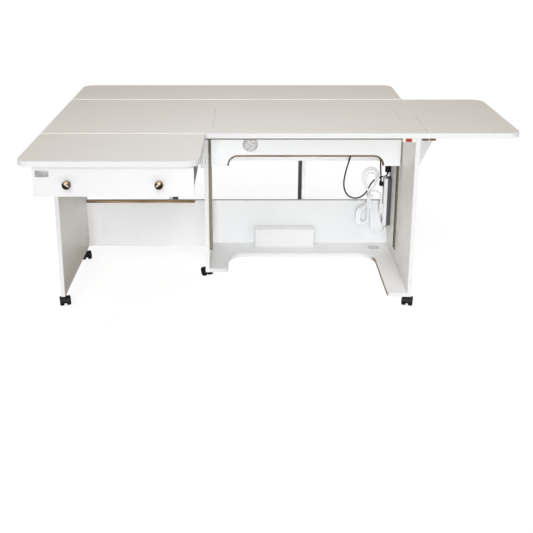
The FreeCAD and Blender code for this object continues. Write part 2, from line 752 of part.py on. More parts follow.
def caster(name, x, y, angle):
    """A twin-wheel caster: a hood with web, fender and stem that swivels, and a wheel pair on an axle."""
    radius = dim.wheel_radius
    half_web = dim.caster_web / 2
    span = dim.caster_web + (dim.wheel_width + dim.fender_gap) * 2
    fender_radius = radius + dim.fender_gap + dim.fender_wall
    shell = rod(fender_radius, span, (0, -span / 2, radius), ALONG_Y)
    upper = box((fender_radius * 2, span, fender_radius),
                (-fender_radius, -span / 2, radius - dim.caster_stem))
    wheel_room = [rod(radius + dim.fender_gap, span, (0, y_start, radius), ALONG_Y)
                  for y_start in (half_web, -half_web - span)]
    hood = cut(common(shell, upper), wheel_room)
    collar = rod(half_web, dim.panel_foot - dim.caster_gap - radius, (-dim.caster_trail, 0, radius))
    stem = rod(dim.caster_stem, stem_length, (-dim.caster_trail, 0, dim.panel_foot - dim.caster_gap * 2))
    axle_bore = rod(half_web / 2 + dim.fit_clearance, span, (0, -span / 2, radius), ALONG_Y)
    frame = cut(fuse([hood, collar, stem]), [axle_bore])
    wheels = [rod(radius, dim.wheel_width, (0, y_start, radius), ALONG_Y)
              for y_start in (half_web + dim.fender_gap, -half_web - dim.fender_gap - dim.wheel_width)]
    axle_start = -half_web - dim.wheel_width / 2
    axle = rod(half_web / 2, dim.caster_web + dim.wheel_width, (0, axle_start, radius), ALONG_Y)
    swing = math.radians(angle)
    at = (x + dim.caster_trail * math.cos(swing), y + dim.caster_trail * math.sin(swing), 0)
    turn = ((0, 0, 1), angle)
    node(f"caster_{name}_hood", turned_copy(frame, at, turn))
    node(f"caster_{name}_wheels", turned_copy(fuse(wheels + [axle]), at, turn))


for name, (side, y, angle) in CASTERS.items():
    caster(name, panel_middle[side], y, angle)

# Electrics: switch under the front edge, duct, control box behind the lift, strip on the right panel
switch_left = right_inner - dim.switch_width - dim.switch_gap
switch_front = panel_front + dim.switch_gap
switch_foot = under_top - dim.switch_height
rocker_x = switch_left + dim.switch_width * 0.47
rocker_y = switch_front + dim.rocker_radius * 0.4
rocker_height = dim.switch_height - dim.switch_wall * 2 - dim.switch_gap
pin_radius = dim.rocker_radius / 6
room_foot = switch_foot + dim.switch_wall
half_gap = dim.switch_gap / 2
case = box((dim.switch_width, dim.switch_depth, dim.switch_height), (switch_left, switch_front, switch_foot))
room = rod(dim.rocker_radius + half_gap, rocker_height + dim.switch_gap, (rocker_x, rocker_y, room_foot))
pin_bore = rod(pin_radius + dim.fit_clearance, rocker_height + dim.switch_gap * 3,
               (rocker_x, rocker_y, room_foot - dim.switch_gap))
control_rear = back_front - dim.control_setback
control_front = control_rear - dim.control_depth
duct_length = control_rear - switch_front - dim.switch_depth
duct = box((dim.duct_size, duct_length, dim.duct_size),
           (right_inner - dim.duct_size - dim.switch_gap, switch_front + dim.switch_depth,
            under_top - dim.duct_size))
node("switch_housing", group([cut(case, [room, pin_bore]), duct]))
barrel = rod(dim.rocker_radius, rocker_height, (rocker_x, rocker_y, room_foot + half_gap))
face = box((dim.rocker_radius * 3, dim.rocker_radius * 2, rocker_height * 2),
           (-dim.rocker_radius * 1.5, -dim.rocker_radius * 0.82, -rocker_height / 2))
tilted = turned_copy(face, (rocker_x, rocker_y, switch_foot), ((0, 0, 1), -8))
pivot = rod(pin_radius, rocker_height + dim.switch_gap * 2, (rocker_x, rocker_y, room_foot - half_gap))
node("switch_rocker", fuse([common(barrel, tilted), pivot]))

control_left = right_inner - dim.control_width - dim.duct_size - dim.duct_to_box
control_foot = under_top - dim.control_height
node("control_box", box((dim.control_width, dim.control_depth, dim.control_height),
                        (control_left, control_front, control_foot)))
strip_front = control_front + dim.strip_setback
strip_face = right_inner - dim.strip_depth
strip_top = dim.strip_foot + dim.strip_length
strip_body = prism(
    [(0, 0), (dim.strip_depth, 0), (dim.strip_depth, dim.strip_width), (0, dim.strip_width)],
    dim.strip_length, (strip_face, strip_front, dim.strip_foot), rounds=[((0, 3), dim.strip_width / 8)])
strip_middle = strip_front + dim.strip_width / 2
socket_levels = [strip_top - dim.strip_length * 0.132 - dim.socket_spacing * i for i in range(3)]
sockets = [rod(dim.socket_radius, dim.socket_depth, (strip_face, strip_middle, level), ALONG_X)
           for level in socket_levels]
gland_x = right_inner - dim.strip_depth / 2
gland_drop = dim.lead_diameter * 2
gland = rod(dim.lead_diameter * 0.9, gland_drop, (gland_x, strip_middle, dim.strip_foot - gland_drop))
node("power_strip", fuse([cut(strip_body, sockets), gland]))


def plug(level, height, reach):
    """A plug seated in one of the strip's sockets, its lead entering from above."""
    head = rod(dim.socket_radius - dim.plug_gap, dim.socket_depth + reach,
               (strip_face - reach, strip_middle, level), ALONG_X)
    slab = box((reach * 2 + dim.socket_depth, dim.strip_width * 0.5, height),
               (strip_face - reach, strip_middle - dim.strip_width * 0.25, level - height / 2))
    grip = box((reach, dim.strip_width * 0.5, height),
               (strip_face - reach, strip_middle - dim.strip_width * 0.25, level - height / 2))
    return fuse([common(head, slab), grip])


white_level = socket_levels[2]
black_level = socket_levels[0]
white_height, white_reach = dim.socket_spacing * 0.78, dim.strip_depth * 0.42
black_height, black_reach = dim.socket_spacing * 0.27, dim.strip_depth * 0.52
node("mains_plug", plug(white_level, white_height, white_reach))
node("switch_plug", plug(black_level, black_height, black_reach))
connector_y = strip_front + dim.strip_width + dim.connector_offset
connector_foot = strip_top + dim.connector_rise
wide, deep = dim.connector_width, dim.connector_depth
node("lift_connector", prism(
    [(0, 0), (wide, 0), (wide, deep), (0, deep)], dim.connector_height,
    (right_inner - wide, connector_y - deep / 2, connector_foot), rounds=[((0, 3), dim.connector_round)]))

# Cords: straight runs with an arc at each point, and a hank of pinched loops in one tube
def point(spot):
    return FreeCAD.Vector(*[as_size(length).value for length in spot])


def cord_path(points):
    """Straight runs joined by tangent arcs as large as the shorter run at each point allows."""
    edges = []
    radii = []
    start = points[0]
    for before, corner, after in zip(points, points[1:], points[2:]):
        towards = (after - corner).normalize()
        back = (before - corner).normalize()
        reach = 0.45 * min((corner - before).Length, (after - corner).Length)
        half_turn = (math.pi - back.getAngle(towards)) / 2
        radius = reach / math.tan(half_turn)
        radii.append(radius)
        first = corner + back * reach
        last = corner + towards * reach
        bisector = (back + towards).normalize()
        middle = corner + bisector * (radius / math.cos(half_turn) - radius)
        edges.append(Part.LineSegment(start, first).toShape())
        edges.append(Part.Arc(first, middle, last).toShape())
        start = last
    edges.append(Part.LineSegment(start, points[-1]).toShape())
    return Part.Wire(edges), radii


def tube(wire, diameter):
    """A round tube along a wire that starts straight."""
    begin = wire.Edges[0].valueAt(wire.Edges[0].FirstParameter)
    along = wire.Edges[0].tangentAt(wire.Edges[0].FirstParameter)
    ring = Part.Wire([Part.Circle(begin, along, diameter / 2).toShape()])
    return wire.makePipeShell([ring], True, False)


def cord(name, points, diameter):
    wire, radii = cord_path([point(spot) for spot in points])
    shape = tube(wire, diameter)
    ratio = shape.Volume / (math.pi * diameter ** 2 / 4 * wire.Length)
    print(name, "length", round(wire.Length), "least radius", round(min(radii), 1),
          "in diameters", round(min(radii) / diameter, 1), "volume ratio", round(ratio, 4))
    item = doc.addObject("Part::Feature", "Cord")
    item.Shape = shape
    return node(name, item)


lead = dim.lead_diameter.value
pitch = dim.hank_pitch.value
waist = lead / 2 + dim.strand_gap.value
hank_x = (right_inner - dim.hank_offset).value
hank_y = (strip_middle - dim.hank_setback).value
hank_z = (dim.strip_foot + dim.hank_rise).value
loops = int(dim.hank_loops.value)
straight = lead


def hank_wire():
    """Loops up the right strand, over the top, down the left strand and back under, a step deeper."""
    spot = FreeCAD.Vector
    edges = []

    def bend(start, end):
        """Two equal arcs from one upright strand line to another."""
        middle = (start + end) * 0.5
        shift = end.x - start.x
        rise = end.z - start.z
        turn = 2 * math.atan2(abs(shift), abs(rise))
        radius = abs(rise) / (2 * math.sin(turn))
        half = turn / 2
        side = math.copysign(radius * (1 - math.cos(half)), shift)
        lift = math.copysign(radius * math.sin(half), rise)
        edges.append(Part.Arc(start, start + spot(side, 0, lift), middle).toShape())
        edges.append(Part.Arc(middle, end - spot(side, 0, lift), end).toShape())

    top, bottom = dim.hank_top_rise.value, -dim.hank_bottom_drop.value
    lean = dim.hank_lean.value
    for i in range(loops):
        y = i * pitch
        top_radius = (dim.hank_top_radius + dim.hank_top_spread * i).value
        bottom_radius = (dim.hank_bottom_radius + dim.hank_bottom_spread * i).value
        low_left, low_right = -bottom_radius - lean, bottom_radius - lean
        low = [spot(waist, y, -straight), spot(waist, y, straight)]
        edges.append(Part.LineSegment(*low).toShape())
        bend(low[1], spot(top_radius, y, top))
        edges.append(Part.Arc(spot(top_radius, y, top), spot(0, y, top + top_radius),
                              spot(-top_radius, y, top)).toShape())
        bend(spot(-top_radius, y, top), spot(-waist, y, straight))
        edges.append(Part.LineSegment(spot(-waist, y, straight), spot(-waist, y, -straight)).toShape())
        bend(spot(-waist, y, -straight), spot(low_left, y, bottom))
        slant = math.hypot(bottom_radius, pitch / 2)
        edges.append(Part.Arc(spot(low_left, y, bottom), spot(-lean, y + pitch / 2, bottom - slant),
                              spot(low_right, y + pitch, bottom)).toShape())
        if i < loops - 1:
            bend(spot(low_right, y + pitch, bottom), spot(waist, y + pitch, -straight))
    end = spot(low_right, loops * pitch, bottom)
    edges.append(Part.LineSegment(end, end + spot(0, 0, lead)).toShape())
    return Part.Wire(edges)


def self_gap(wire, diameter):
    """The least distance between stretches of one tube that are not neighbours along it."""
    step = diameter / 3
    spots = wire.discretize(Distance=step)
    skip = int(diameter * 4 / step)
    apart = [(spots[i] - spots[j]).Length for i in range(len(spots)) for j in range(i + skip, len(spots))]
    return min(apart) - diameter


loops_wire = hank_wire()
loops_shape = tube(loops_wire, lead)
print("mains_hank length", round(loops_wire.Length), "gap to itself", round(self_gap(loops_wire, lead), 2),
      "volume ratio", round(loops_shape.Volume / (math.pi * lead ** 2 / 4 * loops_wire.Length), 4))
hank = doc.addObject("Part::Feature", "Hank")
hank.Shape = loops_shape
hank.Placement = FreeCAD.Placement(FreeCAD.Vector(hank_x, hank_y, hank_z), FreeCAD.Rotation())
node("mains_hank", hank)
tie_depth = (loops - 1) * pitch + lead
tie_left, tie_front = hank_x - waist - lead / 2, hank_y - lead / 2
tie_width = waist * 2 + lead


def tie_block(margin, height):
    """A block round the strands at the waist, larger by a margin on each side."""
    return box((margin * 2 + tie_width, margin * 2 + tie_depth, height),
               (-margin + tie_left, -margin + tie_front, -height / 2 + hank_z))


node("hank_tie", cut(tie_block(dim.tie_gap + dim.tie_wall, dim.tie_height),
                     [tie_block(dim.tie_gap, dim.tie_height * 2)]))

start_x = hank_x + waist
cord("mains_lead", [
    (gland_x, strip_middle, dim.strip_foot - gland_drop),
    (gland_x, strip_middle, dim.strip_foot - 30),
    (gland_x - 8.8, strip_middle - 2, dim.strip_foot - 46),
    (gland_x - 24.1, strip_middle - 5, dim.strip_foot - 55),
    (gland_x - 41.8, strip_middle - 9, dim.strip_foot - 56),
    (gland_x - 57.1, strip_middle - 13, dim.strip_foot - 47),
    (gland_x - 66, strip_middle - 16, dim.strip_foot - 31),
    (gland_x - 71, strip_middle - 17, dim.strip_foot - 6),
    (gland_x - 73, strip_middle - 17, dim.strip_foot + 32),
    (gland_x - 75, strip_middle - 15, dim.strip_foot + 64),
    (gland_x - 79, strip_middle - 13, dim.strip_foot + 94),
    (start_x, strip_middle - 12, dim.strip_foot + 121),
    (start_x, strip_middle - 12, hank_z - straight),
], lead)
plug_top = white_level + white_height / 2
plug_x = strip_face - white_reach / 2
end_radius = dim.hank_bottom_radius + dim.hank_bottom_spread * (loops - 1)
end_x = hank_x + end_radius.value - dim.hank_lean.value
end_y = hank_y + loops * pitch
end_z = hank_z - dim.hank_bottom_drop.value + lead
arch = (plug_x - end_x) / 2
arch_x = plug_x - arch
arch_z = plug_top + 30
eighth = arch * math.tan(math.pi / 8)
cord("plug_lead", [
    (end_x, end_y, end_z),
    (end_x, end_y, end_z + 20),
    (end_x, end_y + 4, end_z + 60),
    (end_x, end_y + 4, arch_z + eighth),
    (arch_x - eighth, end_y, arch_z + arch),
    (arch_x + eighth, end_y - 6, arch_z + arch),
    (plug_x, strip_middle, arch_z + eighth),
    (plug_x, strip_middle, plug_top),
], lead)
cable = dim.cable_diameter.value
drop_x = control_left + 14
cable_y = control_front + 73
cord("lift_cable", [
    (drop_x, cable_y, control_foot),
    (drop_x, cable_y, control_foot - 40),
    (drop_x - 4, cable_y, control_foot - 95),
    (drop_x - 15, cable_y, control_foot - 155),
    (drop_x - 30, cable_y, control_foot - 213),
    (drop_x - 46, cable_y, control_foot - 270),
    (drop_x - 55, cable_y, control_foot - 328),
    (drop_x - 47, cable_y, control_foot - 374),
    (drop_x - 18, cable_y, control_foot - 404),
    (drop_x + 22, cable_y, control_foot - 407),
    (drop_x + 56, cable_y, control_foot - 384),
    (drop_x + 76, cable_y + 2, control_foot - 346),
    (drop_x + 95, cable_y + 5, control_foot - 319),
    (right_inner - 44, connector_y - 3, connector_foot - 32),
    (right_inner - 27, connector_y, connector_foot - 28),
    (right_inner - 17.5, connector_y, connector_foot - 21),
    (right_inner - 13, connector_y, connector_foot - 11),
    (right_inner - 13, connector_y, connector_foot),
], cable)
black_top = black_level + black_height / 2
black_x = strip_face - black_reach * 0.7
cord("switch_cable", [
    (control_left + dim.control_width - 12, strip_middle, control_foot),
    (control_left + dim.control_width - 12, strip_middle, control_foot - 40),
    (control_left + dim.control_width - 14, strip_middle, control_foot - 95),
    (black_x - 3, strip_middle, control_foot - 150),
    (black_x - 5, strip_middle, control_foot - 200),
    (black_x - 4, strip_middle, control_foot - 245),
    (black_x, strip_middle, black_top + 34),
    (black_x, strip_middle, black_top),
], cable)

doc.recompute()
os.makedirs("parts", exist_ok=True)
faults = [item.Name for item in doc.Objects if "Invalid" in item.State or "Error" in item.State]
for name, item in nodes.items():
    if item.Shape.isNull() or not item.Shape.isValid() or not item.Shape.Solids:
        faults.append(name)
if faults:
    raise RuntimeError("not built: " + ", ".join(faults))
for name, item in nodes.items():
    item.Shape.exportStep(f"parts/{name}.step")
    reach = item.Shape.BoundBox
    spans = (reach.XMin, reach.XMax, reach.YMin, reach.YMax, reach.ZMin, reach.ZMax)
    print(name, len(item.Shape.Solids), [round(span, 1) for span in spans])
print(len(nodes), "nodes")
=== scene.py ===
import math

import bmesh
import bpy
from mathutils import Matrix, Vector


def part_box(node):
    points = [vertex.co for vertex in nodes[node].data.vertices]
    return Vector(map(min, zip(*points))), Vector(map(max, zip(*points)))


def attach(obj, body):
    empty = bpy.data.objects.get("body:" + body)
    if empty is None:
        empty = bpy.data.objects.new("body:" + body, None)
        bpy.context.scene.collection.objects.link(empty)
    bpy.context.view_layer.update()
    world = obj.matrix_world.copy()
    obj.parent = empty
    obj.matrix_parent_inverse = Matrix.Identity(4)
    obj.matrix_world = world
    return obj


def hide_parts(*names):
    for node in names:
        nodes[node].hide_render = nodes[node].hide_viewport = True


# Pieces and cords are written in millimetres, materials, camera and lamps in metres
MM = 0.001
LEFT, RIGHT = (-1, 0, 0), (1, 0, 0)
FORWARD, BACKWARD = (0, -1, 0), (0, 1, 0)
DOWN, UP = (0, 0, -1), (0, 0, 1)

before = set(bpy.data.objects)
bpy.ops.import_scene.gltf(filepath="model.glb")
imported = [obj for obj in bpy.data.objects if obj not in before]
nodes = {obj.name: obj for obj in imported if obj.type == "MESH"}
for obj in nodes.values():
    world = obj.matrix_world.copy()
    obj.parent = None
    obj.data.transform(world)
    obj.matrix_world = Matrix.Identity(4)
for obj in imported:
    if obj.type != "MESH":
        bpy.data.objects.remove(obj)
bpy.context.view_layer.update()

# The way each caster trails, in degrees
CASTERS = {"left_front": -72, "left_rear": -72, "middle_front": 118, "middle_rear": 70, "right_front": -108,
           "right_rear": 200}


def span(node):
    """A node's lowest and highest corner in millimetres."""
    return [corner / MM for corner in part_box(node)]


def new_object(name, data):
    item = bpy.data.objects.new(name, data)
    bpy.context.scene.collection.objects.link(item)
    return item


def srgb(red, green, blue):
    """A colour given as 0 to 255 per channel, as linear light."""
    linear = []
    for value in (red, green, blue):
        share = value / 255
        linear.append(share / 12.92 if share <= 0.04045 else ((share + 0.055) / 1.055) ** 2.4)
    return (*linear, 1.0)


# Camera: the photograph's view, its frame cut a little off the lens axis
CAMERA_PLACE = (-0.13298, -3.90111, 1.65364)
CAMERA_DIP = 17.91
camera_data = bpy.data.cameras.new("camera")
camera_data.sensor_width = 36.0
camera_data.lens = 60.69
camera_data.shift_x = 0.0328
camera_data.shift_y = -0.1248
camera = new_object("camera", camera_data)
camera.location = CAMERA_PLACE
camera.rotation_euler = (math.radians(90 - CAMERA_DIP), 0, 0)
bpy.context.scene.camera = camera


# Shader nodes
def new_material(name, **sockets):
    """A material with values on its shader's sockets, and its object coordinates."""
    made = bpy.data.materials.new(name)
    made.use_nodes = True
    shader = made.node_tree.nodes["Principled BSDF"]
    for socket, value in sockets.items():
        shader.inputs[socket.replace("_", " ")].default_value = value
    return made, add(made, "TexCoord").outputs["Object"]


def add(made, kind, *links, **settings):
    """A node with settings, each of its inputs linked to a socket or set to a value."""
    item = made.node_tree.nodes.new("ShaderNode" + kind)
    for key, value in settings.items():
        setattr(item, key, value)
    for entry, value in links:
        if isinstance(value, bpy.types.NodeSocket):
            made.node_tree.links.new(value, item.inputs[entry])
        else:
            item.inputs[entry].default_value = value
    return item


def to_shader(made, socket, output):
    made.node_tree.links.new(output, made.node_tree.nodes["Principled BSDF"].inputs[socket])


def maths(made, operation, *values):
    return add(made, "Math", *enumerate(values), operation=operation).outputs[0]


def vector_maths(made, operation, *values):
    output = "Value" if operation in ("LENGTH", "DOT_PRODUCT") else "Vector"
    return add(made, "VectorMath", *enumerate(values), operation=operation).outputs[output]


def along(made, coords, axis):
    return add(made, "SeparateXYZ", ("Vector", coords)).outputs[axis]


def noise(made, coords, scale, detail=3.0, stretch=None):
    if stretch:
        coords = add(made, "Mapping", ("Vector", coords), ("Scale", stretch)).outputs["Vector"]
    return add(made, "TexNoise", ("Vector", coords), ("Scale", scale), ("Detail", detail)).outputs["Fac"]


def spread(made, value, low, high, first=0.3, last=0.7):
    """The way from low to high that a value has gone between first and last."""
    return add(made, "MapRange", ("Value", value), ("From Min", first), ("From Max", last),
               ("To Min", low), ("To Max", high)).outputs["Result"]


def rising(made, value, first=0.3, last=0.7):
    return spread(made, value, 0.0, 1.0, first, last)


def falling(made, value, first, last):
    return spread(made, value, 1.0, 0.0, first, last)


def mix(made, share, first, second):
    return add(made, "Mix", (0, share), (6, first), (7, second), data_type="RGBA").outputs[2]


def tint(colour, factor):
    return (*[min(1.0, channel * factor) for channel in colour[:3]], 1.0)


def mottle(made, share, colour, dark, light):
    """A colour that wanders between a darker and a lighter tint of itself."""
    return mix(made, share, tint(colour, dark), tint(colour, light))


def bump(made, height, strength, distance):
    item = add(made, "Bump", ("Height", height), ("Strength", strength), ("Distance", distance))
    to_shader(made, "Normal", item.outputs["Normal"])


# Kinds of material
def board(name, axis, face, edge, raw=None, raw_axis="Z", raw_sign=-1, low_arris=None, gloss=0.42, painted_light=(),
          painted_light_side=0):
    """Faced board: its faces look along one axis, its banded edges along the others, some edges raw.

    Each entry of painted light is a centre, a scale per axis, two distances and the tone that the face takes
    on between them: lighter or darker tones painted where the lamps leave the face too dark or too bright.
    With a painted light side of 1 or -1 only the face on that side takes them.
    """
    made, coords = new_material(name, Specular_IOR_Level=0.4)
    outward = add(made, "TexCoord").outputs["Normal"]
    normal = add(made, "SeparateXYZ", ("Vector", outward)).outputs
    specks = noise(made, coords, scale=620.0, detail=2.0)
    face_tone = mottle(made, rising(made, noise(made, coords, scale=2.2, detail=2.0)), face, 0.975, 1.02)
    for centre, scale, start, end, far_face in painted_light:
        apart = vector_maths(made, "SUBTRACT", coords, centre)
        apart = vector_maths(made, "LENGTH", vector_maths(made, "MULTIPLY", apart, scale))
        share = rising(made, apart, start, end)
        if painted_light_side:
            share = maths(made, "MULTIPLY", share, rising(made, normal[axis], 0.0, 0.2 * painted_light_side))
        face_tone = mix(made, share, face_tone, far_face)
    face_tone = mix(made, spread(made, specks, 0.0, 0.35, 0.55, 0.75), face_tone, tint(face, 0.94))
    edge_tone = mottle(made, rising(made, specks), edge, 0.98, 1.01)
    facing = maths(made, "ABSOLUTE", normal[axis])
    colour = mix(made, rising(made, facing, 0.8, 0.95), edge_tone, face_tone)
    if raw:
        chips = noise(made, coords, scale=240.0, detail=4.0, stretch=(1.0, 1.0, 3.0))
        raw_tone = mottle(made, rising(made, chips), raw, 0.8, 1.15)
        pointing = maths(made, "MULTIPLY", normal[raw_axis], float(raw_sign))
        colour = mix(made, rising(made, pointing, 0.78, 0.94), colour, raw_tone)
    if low_arris:
        down = maths(made, "MULTIPLY", normal["Z"], -1.0)
        band = maths(made, "MULTIPLY", rising(made, down, 0.3, 0.45), falling(made, down, 0.85, 0.95))
        colour = mix(made, band, colour, low_arris)
    to_shader(made, "Base Color", colour)
    smear = noise(made, coords, scale=5.0, detail=4.0, stretch=(1.0, 2.5, 1.0))
    to_shader(made, "Roughness", spread(made, smear, gloss - 0.05, gloss + 0.07))
    bump(made, noise(made, coords, scale=900.0, detail=2.0), strength=0.06, distance=0.0004)
    return made


def moulded(made, coords, rough, grain=1400.0, relief=0.15):
    """The surface of a plastic: an uneven gloss and a fine grain."""
    gloss = noise(made, coords, scale=40.0, detail=4.0)
    to_shader(made, "Roughness", spread(made, gloss, rough - 0.07, rough + 0.08))
    bump(made, noise(made, coords, scale=grain, detail=2.0), strength=relief, distance=0.0003)


def plastic(name, colour, rough=0.5, grain=1400.0, relief=0.15, shine=0.45):
    made, coords = new_material(name, Specular_IOR_Level=shine)
    swing = 0.015 if colour[1] > 0.5 else 0.06
    cloud = noise(made, coords, scale=14.0)
    to_shader(made, "Base Color", mottle(made, rising(made, cloud), colour, 1 - swing, 1 + swing))
    moulded(made, coords, rough, grain, relief)
    return made


def split_plastic(name, first, second, place, rough=0.42):
    """Two tones of plastic that meet at a place along x: two shells on the power strip, and on the hinges a
    lighter tone past the right leaf's joint as painted light.
    """
    made, coords = new_material(name, Specular_IOR_Level=0.45)
    share = rising(made, along(made, coords, "X"), place - 0.0002, place + 0.0002)
    cloud = rising(made, noise(made, coords, scale=30.0))
    shells = [mottle(made, cloud, shade, 0.94, 1.05) for shade in (first, second)]
    to_shader(made, "Base Color", mix(made, share, *shells))
    moulded(made, coords, rough)
    return made


def brushed(made, strokes, rough, relief=0.12):
    """The surface of a metal that was brushed in strokes."""
    to_shader(made, "Roughness", spread(made, strokes, rough - 0.08, rough + 0.12))
    bump(made, strokes, relief, distance=0.0002)


def metal(name, colour, rough, stretch):
    made, coords = new_material(name, Metallic=1.0)
    strokes = noise(made, coords, scale=60.0, detail=4.0, stretch=stretch)
    to_shader(made, "Base Color", mottle(made, rising(made, strokes), colour, 0.82, 1.1))
    brushed(made, strokes, rough)
    return made


def shaded_rails(name, left, right, lip, lip_line):
    """Grey metal: a darker tone on the right rail than on the left as painted light and shade, and a pale
    lip past a line along x, the darker rest standing as painted shade in the channels.
    """
    made, coords = new_material(name, Metallic=0.35)
    across = along(made, coords, "X")
    tone = mix(made, falling(made, across, -0.1, 0.1), right, left)
    on_lip = rising(made, across, lip_line - 0.0003, lip_line + 0.0003)
    to_shader(made, "Base Color", mix(made, on_lip, tone, lip))
    brushed(made, noise(made, coords, scale=60.0, detail=4.0, stretch=(30.0, 30.0, 1.0)), rough=0.45)
    return made


def turned_metal(name, colour, centre, apart, rough, stripe):
    """Metal turned about y at two places, as far left as right of a centre, with a painted highlight stripe
    and painted shade on the side away from it.
    """
    made, coords = new_material(name, Metallic=1.0)
    offset = vector_maths(made, "SUBTRACT", coords, centre)
    sideways = along(made, vector_maths(made, "ABSOLUTE", offset), "X")
    parts = add(made, "SeparateXYZ", ("Vector", offset)).outputs
    offset = add(made, "CombineXYZ", ("X", sideways), ("Y", parts["Y"]), ("Z", parts["Z"])).outputs[0]
    offset = vector_maths(made, "SUBTRACT", offset, (apart, 0.0, 0.0))
    radius = vector_maths(made, "LENGTH", vector_maths(made, "MULTIPLY", offset, (1.0, 0.0, 1.0)))
    rings = add(made, "CombineXYZ", ("X", radius)).outputs[0]
    strokes = noise(made, rings, scale=2600.0, detail=2.0)
    cloud = noise(made, coords, scale=90.0)
    tone = mottle(made, rising(made, strokes), colour, 0.8, 1.08)
    tone = mix(made, spread(made, cloud, 0.0, 0.35), tone, tint(colour, 0.7))
    side = vector_maths(made, "DOT_PRODUCT", offset, stripe)
    # Painted shade on the side away from the highlight, then a painted highlight: a pale stripe of near
    # white across each knob.
    tone = mix(made, falling(made, side, -0.006, 0.004), tone, tint(colour, 0.45))
    painted_highlight = falling(made, radius, 0.009, 0.013)
    for share in (rising(made, side, 0.0002, 0.0014), falling(made, side, 0.0050, 0.0064)):
        painted_highlight = maths(made, "MULTIPLY", painted_highlight, share)
    to_shader(made, "Base Color", mix(made, painted_highlight, tone, srgb(238, 236, 230)))
    to_shader(made, "Metallic", spread(made, painted_highlight, 1.0, 0.3, 0.0, 1.0))
    to_shader(made, "Roughness", spread(made, strokes, rough - 0.05, rough + 0.15))
    bump(made, strokes, strength=0.1, distance=0.0002)
    return made


def frosted(name, dark, light, scale):
    """Etched metal: pale with darker specks."""
    made, coords = new_material(name, Metallic=0.25, Specular_IOR_Level=0.5)
    specks = noise(made, coords, scale, detail=5.0)
    to_shader(made, "Base Color", mix(made, rising(made, specks, 0.38, 0.6), dark, light))
    to_shader(made, "Roughness", spread(made, specks, 0.6, 0.42))
    bump(made, specks, strength=0.4, distance=0.0004)
    return made


def wood(name, light, dark, stretch):
    made, coords = new_material(name, Specular_IOR_Level=0.3)
    grain = noise(made, coords, scale=26.0, detail=6.0, stretch=stretch)
    to_shader(made, "Base Color", mix(made, rising(made, grain, 0.35, 0.65), dark, light))
    to_shader(made, "Roughness", spread(made, grain, 0.55, 0.75))
    bump(made, grain, strength=0.3, distance=0.0006)
    return made


def weave(name, colour):
    """Hook-and-loop strap: fine crossed threads."""
    made, coords = new_material(name, Specular_IOR_Level=0.2)
    threads = [add(made, "TexWave", ("Vector", coords), ("Scale", 900.0), ("Distortion", 1.5),
                   wave_type="BANDS", bands_direction=axis).outputs["Fac"] for axis in ("X", "Z")]
    cross = maths(made, "MULTIPLY", *threads)
    to_shader(made, "Base Color", mottle(made, cross, colour, 0.82, 1.12))
    to_shader(made, "Roughness", spread(made, cross, 0.95, 0.8, 0.0, 1.0))
    bump(made, cross, strength=0.6, distance=0.0003)
    return made


# Boards
WHITE = srgb(255, 255, 255)
# Edges darker than the white faces: painted shade that keeps the brightly lit front edges from washing out.
EDGE = srgb(213, 213, 214)
GREY_EDGE = srgb(112, 112, 114)
RAW = srgb(150, 128, 98)
BROWN_ARRIS = srgb(168, 150, 124)
ALONG_X, ALONG_Y, ALONG_Z = (1.0, 0.0, 0.0), (0.0, 1.0, 0.0), (0.0, 0.0, 1.0)
MIDDLE, FAR_LEFT, FAR_FRONT = (0.0, 0.0, 0.0), (-1.0, 0.0, 0.0), (0.0, -1.0, 0.0)
TOP_LIGHT_CENTRE, TOP_LIGHT_SCALE = (-0.15, -0.75, 0.0), (0.83, 0.77, 0.0)
PANEL_BRIGHTEST = (0.0, 0.0, 0.36)
WALL_LEFT = (-0.934, 0.0, 0.0)
APRON_MIDDLE = (0.123, 0.0, 0.0)
# Painted light on the back wall's front face: white near the corners against their shade, and bands of
# lighter and darker tone along x as painted light and shade.
WALL_PAINTED_LIGHT = [
    (WALL_LEFT, ALONG_X, 0.0, 0.235, srgb(226, 228, 229)),
    (MIDDLE, ALONG_X, 0.86, 0.92, WHITE),
    (FAR_LEFT, ALONG_X, 0.43, 0.65, srgb(235, 237, 238)),
    (FAR_LEFT, ALONG_X, 0.672, 0.678, WHITE),
    (FAR_LEFT, ALONG_X, 0.700, 0.735, srgb(238, 240, 242)),
    (FAR_LEFT, ALONG_X, 0.73, 0.95, srgb(221, 223, 225)),
    (FAR_LEFT, ALONG_X, 1.40, 1.52, srgb(242, 244, 246)),
]

# The top's tone drift is painted light: the face darkens away from a pool of light near the front.
top_board = board("top_board", "Z", srgb(243, 240, 234), EDGE, raw=srgb(206, 198, 186), gloss=0.45,
                  low_arris=BROWN_ARRIS, painted_light=[(TOP_LIGHT_CENTRE, TOP_LIGHT_SCALE, 0.0, 1.3, srgb(209, 200, 188))])
# On its inner face painted light: lighter towards the rear and around 360 mm up, darker and warmer above as
# painted shade under the drawer, and below as a painted warm bounce off the floor.
left_board = board("left_board", "X", srgb(236, 234, 231), EDGE, painted_light_side=1,
                   painted_light=[(FAR_FRONT, ALONG_Y, 1.05, 1.30, srgb(252, 254, 255)),
                           (PANEL_BRIGHTEST, ALONG_Z, 0.06, 0.26, srgb(206, 198, 190))])
# The middle panel's edges are lighter than the other boards' edges: painted light on its shaded front edge.
middle_board = board("middle_board", "X", srgb(240, 240, 240), srgb(227, 227, 228))
right_board = board("right_board", "X", srgb(236, 233, 229), EDGE)
back_board = board("back_board", "Y", srgb(238, 240, 242), EDGE, raw=srgb(200, 194, 184), raw_sign=1,
                   painted_light_side=-1, painted_light=WALL_PAINTED_LIGHT)
# The rear rail is whiter than the other white boards: painted light against the apron's shadow on it.
rear_board = board("rear_board", "Y", srgb(252, 253, 255), EDGE)
